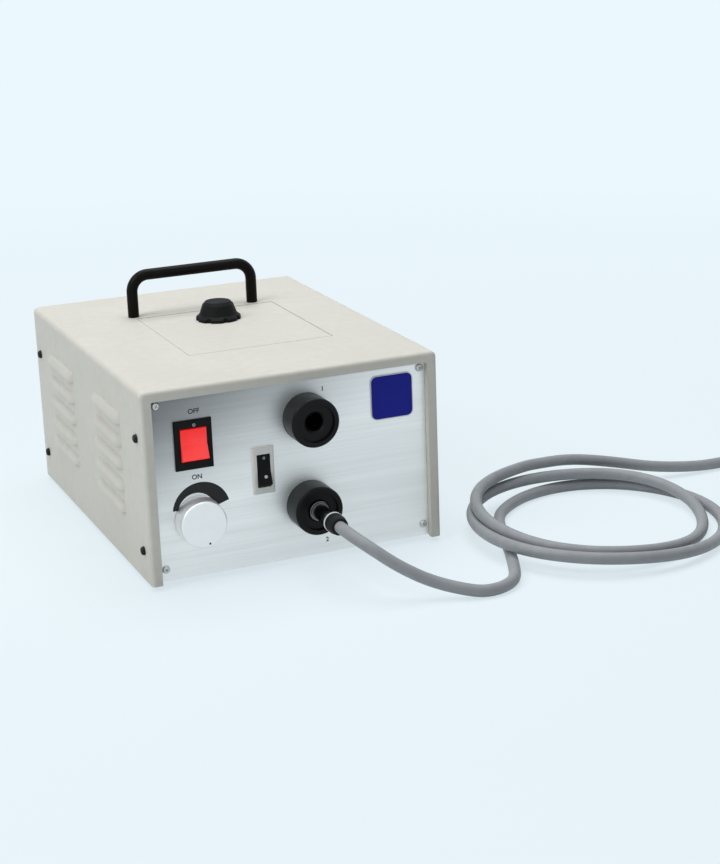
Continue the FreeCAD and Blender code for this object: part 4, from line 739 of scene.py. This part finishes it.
@dataclass
class PanelPrints(Dressing):
    """The prints on the front panel: the switch's words, the ports' numbers, the dial's scale."""

    face: float = 4.95
    thick: float = 0.05
    letter_height: float = 3.2
    capital_share: float = 0.72
    boldness: float = 0.03
    word_spots: tuple[tuple[str, float, float], ...] = (
        ("OFF", -66.4, 115.1), ("ON", -66.7, 71.1), ("1", 22.2, 117.2), ("2", 21.3, 13.0))
    scale_middle: Pair = (-65.0, 47.7)
    scale_radius: float = 19.57
    scale_hollow: Pair = (-68.4, 48.0)
    scale_hollow_radius: float = 12.46
    scale_steps: int = 96
    scale_cuts: tuple[tuple[float, float, float, float], ...] = (
        (-84.6, 50.4, -0.9, -28.8), (-55.8, 49.5, 3.0, -9.9))
    ring_place: Point = (-67.4, 2.8, 106.6)
    ring_inner: float = 0.65
    ring_outer: float = 0.97
    ring_thick: float = 0.04

    def word(self, text: str, x: float, z: float) -> None:
        """Prints a word.

        Args:
            text: The word.
            x: Its middle's place across the panel.
            z: Its middle's height.
        """
        name = "print_" + text.lower()
        height = self.letter_height * MM
        curve = bpy.data.curves.new(name, "FONT")
        curve.body = text
        curve.size = height / self.capital_share
        curve.extrude = self.thick * MM / 2
        curve.offset = height * self.boldness
        curve.align_x = "CENTER"
        curve.align_y = "CENTER"
        written = bpy.data.objects.new(name + "_curve", curve)
        bpy.context.collection.objects.link(written)
        bpy.context.view_layer.update()
        mesh = bpy.data.meshes.new_from_object(written.evaluated_get(
            bpy.context.evaluated_depsgraph_get()))
        bpy.data.objects.remove(written)
        shape = bmesh.new()
        shape.from_mesh(mesh)
        self.save(lay(shape, Side.FRONT.facing(at(x, self.face + self.thick / 2, z))), name,
                  "black_ink")

    def scale(self) -> None:
        """Prints the crescent round the knob, thin at the left and broad at its end."""
        shape = bmesh.new()
        outer, inner = [
            bmesh.ops.create_circle(shape, segments=self.scale_steps, radius=radius * MM)["verts"]
            for radius in (self.scale_radius, self.scale_hollow_radius)]
        x, z = self.scale_middle
        shift = ((self.scale_hollow[0] - x) * MM, (self.scale_hollow[1] - z) * MM, 0.0)
        bmesh.ops.translate(shape, verts=inner, vec=shift)
        bmesh.ops.triangle_fill(shape, edges=loop_edges(outer) + loop_edges(inner),
                                use_beauty=True)
        for across, up, way_across, way_up in self.scale_cuts:
            bmesh.ops.bisect_plane(shape, geom=shape.verts[:] + shape.edges[:] + shape.faces[:],
                                   plane_co=((across - x) * MM, (up - z) * MM, 0.0),
                                   plane_no=(way_across, way_up, 0.0), clear_outer=True)
        raise_faces(shape, self.thick)
        self.save(lay(shape, Side.FRONT.facing(at(x, self.face + self.thick, z))),
                  "intensity_scale", "black_ink")

    def build(self) -> None:
        """Makes every print, and the small ring on the power switch's bezel."""
        for text, x, z in self.word_spots:
            self.word(text, x, z)
        self.scale()
        ring = flat_ring(self.ring_inner, self.ring_outer, self.ring_thick)
        self.save(lay(ring, Side.FRONT.facing(at(*self.ring_place))), "power_ring_mark",
                  "pale_ink")


@dataclass
class Badge(Dressing):
    """A blank blue plate with a pale rim on the front panel."""

    place: Point = (71.1, 5.0, 105.3)
    size: float = 30.3
    corner: float = 4.5
    corner_steps: int = 8
    thick: float = 0.8
    rim: float = 0.55
    sunk: float = 0.15

    def build(self) -> None:
        """Makes the plate."""
        shape = bmesh.new()
        bmesh.ops.create_grid(shape, x_segments=1, y_segments=1, size=self.size / 2 * MM)
        bmesh.ops.bevel(shape, geom=shape.verts[:], offset=self.corner * MM,
                        segments=self.corner_steps, profile=0.5, affect="VERTICES", material=-1)
        top = [item for item in raise_faces(shape, self.thick)
               if isinstance(item, bmesh.types.BMFace)]
        bmesh.ops.inset_region(shape, faces=top, thickness=self.rim * MM, use_boundary=True)
        bmesh.ops.translate(shape, verts=[vert for face in top for vert in face.verts],
                            vec=(0.0, 0.0, -self.sunk * MM))
        for face in shape.faces:
            face.material_index = 0 if face in top else 1
        self.save(lay(shape, Side.FRONT.facing(at(*self.place))), "blank_badge", "badge_blue",
                  "pale_ink")


@dataclass
class KnobPointer(Dressing):
    """The small dark dot that shows where the intensity knob stands."""

    place: Point = (-64.7, -8.0, 29.3)
    radius: float = 0.75
    top_radius: float = 0.525
    thick: float = 0.04

    def build(self) -> None:
        """Makes the dot, which turns with the knob."""
        dot = turned_shape([(0.0, self.thick), (self.top_radius, self.thick),
                            (self.radius, 0.0), (0.0, 0.0)], steps=24)
        self.save(lay(dot, Side.FRONT.facing(at(*self.place))), "knob_pointer", "black_ink",
                  body="dial", smooth=True)


@dataclass
class RockerMarks(Dressing):
    """The pale printed ring on the lamp selector's rocker, and a white dot on it that is a
    painted highlight.
    """

    ring_place: Point = (-21.4, 2.95, 77.2)
    ring_inner: float = 0.55
    ring_outer: float = 0.85
    glint_place: Point = (-21.0, 1.36, 64.8)
    glint_radius: float = 1.1
    glint_tilt: float = -20.0
    thick: float = 0.04

    def build(self) -> None:
        """Makes the ring and the painted highlight, which tilt with the rocker."""
        ring = lay(flat_ring(self.ring_inner, self.ring_outer, self.thick),
                   Side.FRONT.facing(at(*self.ring_place)))
        # The white dot is a painted highlight on the rocker's lower half.
        tilt = Matrix.Rotation(math.radians(self.glint_tilt), 4, "X")
        place = Matrix.Translation(Vector(at(*self.glint_place)))
        dot = lay(disc(self.glint_radius, self.thick),
                  place @ tilt @ Side.FRONT.facing((0.0, 0.0, 0.0)))
        self.save(joined([ring, dot]), "selector_mark_and_glint", "pale_ink", body="selector_rocker")


@dataclass
class LouvrePaintedShadeDots(Dressing):
    """Painted shade: small flat dark discs behind the louvres' rear ends, on both sides, where
    the ends show dark.
    """

    half: float = 102.5
    starts: tuple[float, ...] = (50.0, 165.0)
    length: float = 64.0
    behind: float = 1.5
    first: float = 40.0
    pitch: float = 15.3
    rows: int = 5
    radius: float = 1.3
    thick: float = 0.03

    def build(self) -> None:
        """Makes every painted shade disc as one piece."""
        back = tuple(start + self.length + self.behind for start in self.starts)
        heights = tuple(self.first + row * self.pitch for row in range(self.rows))
        self.save(joined([lay(disc(self.radius, self.thick, steps=20), side.facing(spot))
                          for side, reach in ((Side.LEFT, -self.half), (Side.RIGHT, self.half))
                          for spot in grid((reach,), back, heights)]),
                  "louvre_painted_shade", "black_ink")


@dataclass
class PlugDressing(Dressing):
    """Polished plug between its two rings, and the cord's black collar behind it."""

    place: Point = (10.0, 5.0, 40.0)
    tip: float = -15.0
    ferrule: float = 6.0
    face: float = 16.2
    end: float = 42.0
    neck: float = 5.2
    ring: float = 6.8
    ring_thick: float = 1.6
    collar: float = 6.6
    collar_end: float = 52.0
    collar_taper: float = 0.8
    soft: float = 0.3
    grooves: tuple[float, ...] = (1.4, 2.6, 3.8)
    groove_mouth: float = 0.3
    groove_floor: float = 0.15
    groove_depth: float = 0.25

    def band(self, low: float) -> list[Pair]:
        """Corners of one ring of the plug, with softened edges.

        Args:
            low: Where the ring starts.

        Returns:
            The corners as (radius, height).
        """
        high = low + self.ring_thick
        inner = self.ring - self.soft
        return [(inner, low), (self.ring, low + self.soft), (self.ring, high - self.soft),
                (inner, high)]

    def plug(self) -> bpy.types.Object:
        """Makes the polished plug; its body is chrome darkened as painted reflection, so its
        outer ring is brighter.

        Returns:
            The piece.
        """
        first = self.face + self.ring_thick
        last = self.end - self.ring_thick
        shape = turned_shape([
            (0.0, self.tip), (self.ferrule - self.soft, self.tip),
            (self.ferrule, self.tip + self.soft), (self.ferrule, self.face),
            *self.band(self.face), (self.neck + self.soft, first),
            (self.neck, first + self.soft), (self.neck, last - self.soft),
            (self.neck + self.soft, last), *self.band(last), (0.0, self.end)], steps=64)
        for face in shape.faces:
            face.material_index = int(face.calc_center_median().z > (last - self.soft) * MM)
        piece = self.save(lay(shape, Side.FRONT.facing(at(*self.place))), "guide_plug_polished",
                          "chrome_painted_dark_reflection", "polished_chrome", smooth=True)
        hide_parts("guide_plug")
        return piece

    def grooved_collar(self) -> bpy.types.Object:
        """Makes the grooved black collar.

        Returns:
            The piece.
        """
        outline = [(0.0, self.end), (self.collar - self.soft, self.end),
                   (self.collar, self.end + self.soft)]
        floor = self.collar - self.groove_depth
        for groove in self.grooves:
            level = self.end + groove
            outline += [(self.collar, level - self.groove_mouth),
                        (floor, level - self.groove_floor), (floor, level + self.groove_floor),
                        (self.collar, level + self.groove_mouth)]
        tip = self.collar - self.collar_taper
        outline += [(self.collar, (self.end + self.collar_end) / 2),
                    (tip, self.collar_end - self.soft), (tip - self.soft, self.collar_end),
                    (0.0, self.collar_end)]
        shape = lay(turned_shape(outline), Side.FRONT.facing(at(*self.place)))
        piece = self.save(shape, "guide_collar_grooved", "rubber", smooth=True)
        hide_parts("guide_collar")
        return piece

    def build(self) -> list[bpy.types.Object]:
        """Makes both pieces, which go along with the cord, and hands them over."""
        return [self.plug(), self.grooved_collar()]


@dataclass
class InletPins(Dressing):
    """The three plated pins of the mains inlet, as sheaths round the moulded ones."""

    side: float = -68.0
    height: float = 35.0
    spread: float = 7.0
    rise: float = 2.0
    root: float = 250.0
    tip: float = 261.1
    thick: float = 2.1
    broad: float = 4.1
    tip_round: float = 0.5

    def build(self) -> None:
        """Makes the pins, the middle one above the others."""
        parts = []
        size = (self.thick * MM, self.broad * MM, (self.tip - self.root) * MM)
        for step in (-1, 0, 1):
            pin = bmesh.new()
            bmesh.ops.create_cube(pin, size=1.0)
            bmesh.ops.scale(pin, verts=pin.verts, vec=size)
            ends = [edge for edge in pin.edges if all(vert.co.z > 0 for vert in edge.verts)]
            bmesh.ops.bevel(pin, geom=ends, offset=self.tip_round * MM, segments=2,
                            profile=0.5, affect="EDGES", material=-1)
            rise = -self.rise if step else self.rise
            spot = at(self.side + step * self.spread, (self.root + self.tip) / 2,
                      self.height + rise)
            parts.append(lay(pin, Side.REAR.facing(spot)))
        self.save(joined(parts), "inlet_pin_plating", "screw_steel")


def screw_sets(finishes: Finishes) -> list[CrossScrews]:
    """Every set of screws that shows on the outside.

    Args:
        finishes: The illuminator's finishes.

    Returns:
        The sets, with their places.
    """
    return [
        CrossScrews(finishes, "panel_screws", Side.FRONT,
                    grid((-91.5, 91.5), (5.0,), (12.0, 122.0))),
        CrossScrews(finishes, "cover_screws", Side.LEFT,
                    grid((-102.5, 102.5), (14.0, 256.0), (24.0, 100.0)),
                    head=3.0, stand=2.2, finish="black_oxide"),
        CrossScrews(finishes, "foot_screws", Side.UNDER,
                    grid((-80.0, 80.0), (25.0, 245.0), (2.6,)), head=3.0, length=6.0),
        CrossScrews(finishes, "fan_screws", Side.REAR,
                    grid((-25.75, 45.75), (266.2,), (34.25, 105.75)), shank=1.95, length=14.0),
        CrossScrews(finishes, "inlet_screws", Side.REAR,
                    grid((-88.0, -48.0), (267.0,), (35.0,))),
    ]


@dataclass
class LightGuide(Dressing):
    """The sheathed light guide: one cord from the plug, round the ring, to its end fitting."""

    diameter: float = 0.008
    length: float = 1.62
    smoothness: int = 6
    middle: Pair = (0.207, -0.032)
    start: float = 144.0
    lift: float = 0.0089
    steps: int = 4
    radii: tuple[float, ...] = (71, 87, 86, 93, 88, 83, 71, 81, 86, 89)
    layers: tuple[int, ...] = (0, 0, 0, 1, 1, 1, 0, 1, 2, 2)
    last_quarter: float = 0.6
    lead: tuple[Point, ...] = (
        (0.010, -0.047, 0.040), (0.010, -0.057, 0.040), (0.0127, -0.0675, 0.038),
        (0.0205, -0.078, 0.032), (0.0325, -0.0865, 0.0225), (0.052, -0.0945, 0.011),
        (0.076, -0.1075, 0.0046), (0.0889, -0.1089, 0.004), (0.1011, -0.1044, 0.004),
        (0.1103, -0.0952, 0.004), (0.1201, -0.0733, 0.004), (0.1362, -0.0313, 0.004))
    tail: tuple[Point, ...] = (
        (0.233, 0.0565, 0.0214), (0.262, 0.0505, 0.0165), (0.298, 0.0415, 0.0085),
        (0.343, 0.0375, 0.004), (0.388, 0.046, 0.0055), (0.424, 0.066, 0.0055))

    def ring(self) -> list[Point]:
        """Points of the turns, worked out between the quarter turns.

        Returns:
            The ring's points, measured from the case's front edge.
        """
        points = []
        final = len(self.radii) - 2
        last = final + self.last_quarter
        for step in range(math.ceil(last * self.steps) + 1):
            turned = min(step / self.steps, last)
            quarter = min(int(turned), final)
            part = turned - quarter
            if quarter == final:
                part /= self.last_quarter
            eased = part * part * (3 - 2 * part)
            radius, layer = [
                values[quarter] + (values[quarter + 1] - values[quarter]) * eased
                for values in (self.radii, self.layers)]
            angle = math.radians(self.start - 90 * turned)
            points.append((self.middle[0] + radius * MM * math.cos(angle),
                           self.middle[1] + radius * MM * math.sin(angle),
                           self.diameter / 2 + layer * self.lift))
        return points

    def build(self, ends: list[bpy.types.Object]) -> None:
        """Args:
            ends: The dressed pieces at its near end; not used.
        """
        route = [*self.lead, *self.ring(), *self.tail]
        curve = bpy.data.curves.new("guide_cord", "CURVE")
        curve.dimensions = "3D"
        curve.bevel_depth = self.diameter / 2
        curve.bevel_resolution = self.smoothness
        curve.resolution_u = self.smoothness
        curve.use_fill_caps = True
        line = curve.splines.new("NURBS")
        line.points.add(len(route) - 1)
        for spot, (x, y, z) in zip(line.points, route):
            spot.co = (x, y + CASE_SHIFT * MM, z, 1.0)
        line.order_u = 3
        line.use_endpoint_u = True
        cord = bpy.data.objects.new("guide_cord", curve)
        bpy.context.collection.objects.link(cord)
        curve.materials.append(self.finishes.made["guide_sheath"])
        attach(cord, "case")
        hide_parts("guide_lead", "guide_coil", "guide_tail")
        x, y, z = self.lead[0]
        LOG.info("guide_cord: %d points", len(route))


# Studio

@dataclass(frozen=True)
class Lamp:
    """A soft square lamp aimed at a point, with sizes in metres and its power in watts."""

    name: str
    place: Point
    aim: Point
    size: float
    watts: float

    def hang(self) -> None:
        """Puts the lamp into the scene."""
        data = bpy.data.lights.new(self.name, "AREA")
        data.size = self.size
        data.energy = self.watts
        lamp = bpy.data.objects.new(self.name, data)
        bpy.context.collection.objects.link(lamp)
        lamp.location = self.place
        way = Vector(self.aim) - Vector(self.place)
        lamp.rotation_euler = way.to_track_quat("-Z", "Y").to_euler()


@dataclass
class Studio:
    """Pale floor, soft light, and the camera at the photograph's place."""

    eye: Point = (-0.4338, -1.2918, 0.4698)
    azimuth: float = -22.43
    elevation: float = 17.01
    roll: float = -2.14
    focal_pixels: float = 1994.7
    frame_height: int = 864
    sensor: float = 36.0
    pale: Colour = (0.831, 0.939, 0.991)
    floor_colour: Colour = (0.80, 0.86, 0.88)
    floor_roughness: float = 0.95
    floor_plain: float = 0.72
    floor_near: float = 0.45
    floor_far: float = 1.3
    floor_half: float = 6.0
    fill: float = 0.2
    fill_colour: Colour = (0.95, 0.97, 1.0)
    lamps: tuple[Lamp, ...] = (
        Lamp("key", (-1.5, -0.3, 1.7), (0.05, 0.0, 0.05), 1.2, 18.0),
        Lamp("top", (0.2, 0.4, 2.2), (0.1, 0.0, 0.0), 1.8, 34.0))

    def camera(self) -> None:
        """Places the camera and makes it the scene's."""
        data = bpy.data.cameras.new("view")
        data.sensor_width = self.sensor
        data.lens = self.focal_pixels * self.sensor / self.frame_height
        camera = bpy.data.objects.new("view", data)
        bpy.context.collection.objects.link(camera)
        camera.matrix_world = self.camera_matrix()
        bpy.context.scene.camera = camera

    def camera_matrix(self) -> Matrix:
        """Works out the camera's place and turn.

        Returns:
            The camera's matrix in the part's frame.
        """
        side, rise, tilt = [math.radians(angle)
                            for angle in (self.azimuth, self.elevation, self.roll)]
        back = Vector((math.sin(side) * math.cos(rise), -math.cos(side) * math.cos(rise),
                       math.sin(rise)))
        right = Vector((0, 0, 1)).cross(back).normalized()
        up = back.cross(right)
        turned_right = right * math.cos(tilt) + up * math.sin(tilt)
        turned_up = up * math.cos(tilt) - right * math.sin(tilt)
        turn = Matrix((turned_right, turned_up, back)).transposed()
        return Matrix.Translation(Vector(self.eye)) @ turn.to_4x4()

    def looking(self, shader: Shader) -> Socket:
        """1 for rays that look at a thing straight, in a reflection or through glass.

        Args:
            shader: The material or world being wired.

        Returns:
            The value's socket.
        """
        path = shader.add("ShaderNodeLightPath")
        value = path.outputs["Is Camera Ray"]
        for name in ("Is Glossy Ray", "Is Transmission Ray"):
            value = shader.calc("MAXIMUM", value, path.outputs[name])
        return value

    def floor_material(self) -> bpy.types.Material:
        """A pale matt floor that shades into the plain background with distance.

        Returns:
            The material.
        """
        material = bpy.data.materials.new("pale_floor")
        material.use_nodes = True
        nodes = material.node_tree.nodes
        shader = Shader(material.node_tree)
        matt = nodes["Principled BSDF"]
        shader.fill(matt, {"Base Color": self.floor_colour, "Roughness": self.floor_roughness,
                           "Specular IOR Level": 0.0})
        plain = shader.add("ShaderNodeEmission", {"Color": self.pale})
        place = shader.add("ShaderNodeTexCoord").outputs["Object"]
        distance = shader.add("ShaderNodeVectorMath", {0: place}, operation="LENGTH")
        far = shader.span(distance.outputs["Value"], self.floor_near, self.floor_far,
                          self.floor_plain, 1.0)
        share = shader.calc("MULTIPLY", far, self.looking(shader))
        mixer = shader.add("ShaderNodeMixShader",
                           {"Fac": share, 1: matt.outputs[0], 2: plain.outputs[0]})
        shader.fill(nodes["Material Output"], {"Surface": mixer.outputs[0]})
        return material

    def floor(self) -> None:
        """A broad pale floor."""
        mesh = bpy.data.meshes.new("floor")
        shape = bmesh.new()
        bmesh.ops.create_grid(shape, x_segments=1, y_segments=1, size=self.floor_half)
        shape.to_mesh(mesh)
        shape.free()
        floor = bpy.data.objects.new("floor", mesh)
        bpy.context.collection.objects.link(floor)
        mesh.materials.append(self.floor_material())

    def world(self) -> None:
        """Pale background for the camera and reflections, softer light for the rest."""
        world = bpy.data.worlds.new("studio")
        world.use_nodes = True
        bpy.context.scene.world = world
        world.node_tree.nodes.clear()
        shader = Shader(world.node_tree)
        seen = shader.add("ShaderNodeBackground", {"Color": self.pale})
        fill = shader.add("ShaderNodeBackground",
                          {"Color": self.fill_colour, "Strength": self.fill})
        mixer = shader.add("ShaderNodeMixShader", {"Fac": self.looking(shader),
                                                   1: fill.outputs[0], 2: seen.outputs[0]})
        shader.add("ShaderNodeOutputWorld", {"Surface": mixer.outputs[0]})

    def build(self) -> None:
        """Sets up the whole studio."""
        bpy.context.scene.view_settings.view_transform = "Standard"
        self.camera()
        self.floor()
        self.world()
        for lamp in self.lamps:
            lamp.hang()


def main() -> None:
    """Builds the studio and dresses every sub-assembly."""
    logging.basicConfig(level=logging.INFO)
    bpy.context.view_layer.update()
    Studio().build()
    finishes = Finishes()
    for name, nodes in NODE_FINISHES.items():
        for node in nodes:
            finishes.dress(node, name)
    ends = PlugDressing(finishes).build()
    LightGuide(finishes).build(ends)
    for screws in screw_sets(finishes):
        screws.build()
    for dressing in (PanelPrints, Badge, KnobPointer, RockerMarks, LouvrePaintedShadeDots, InletPins):
        dressing(finishes).build()


if __name__ == "__main__":
    main()
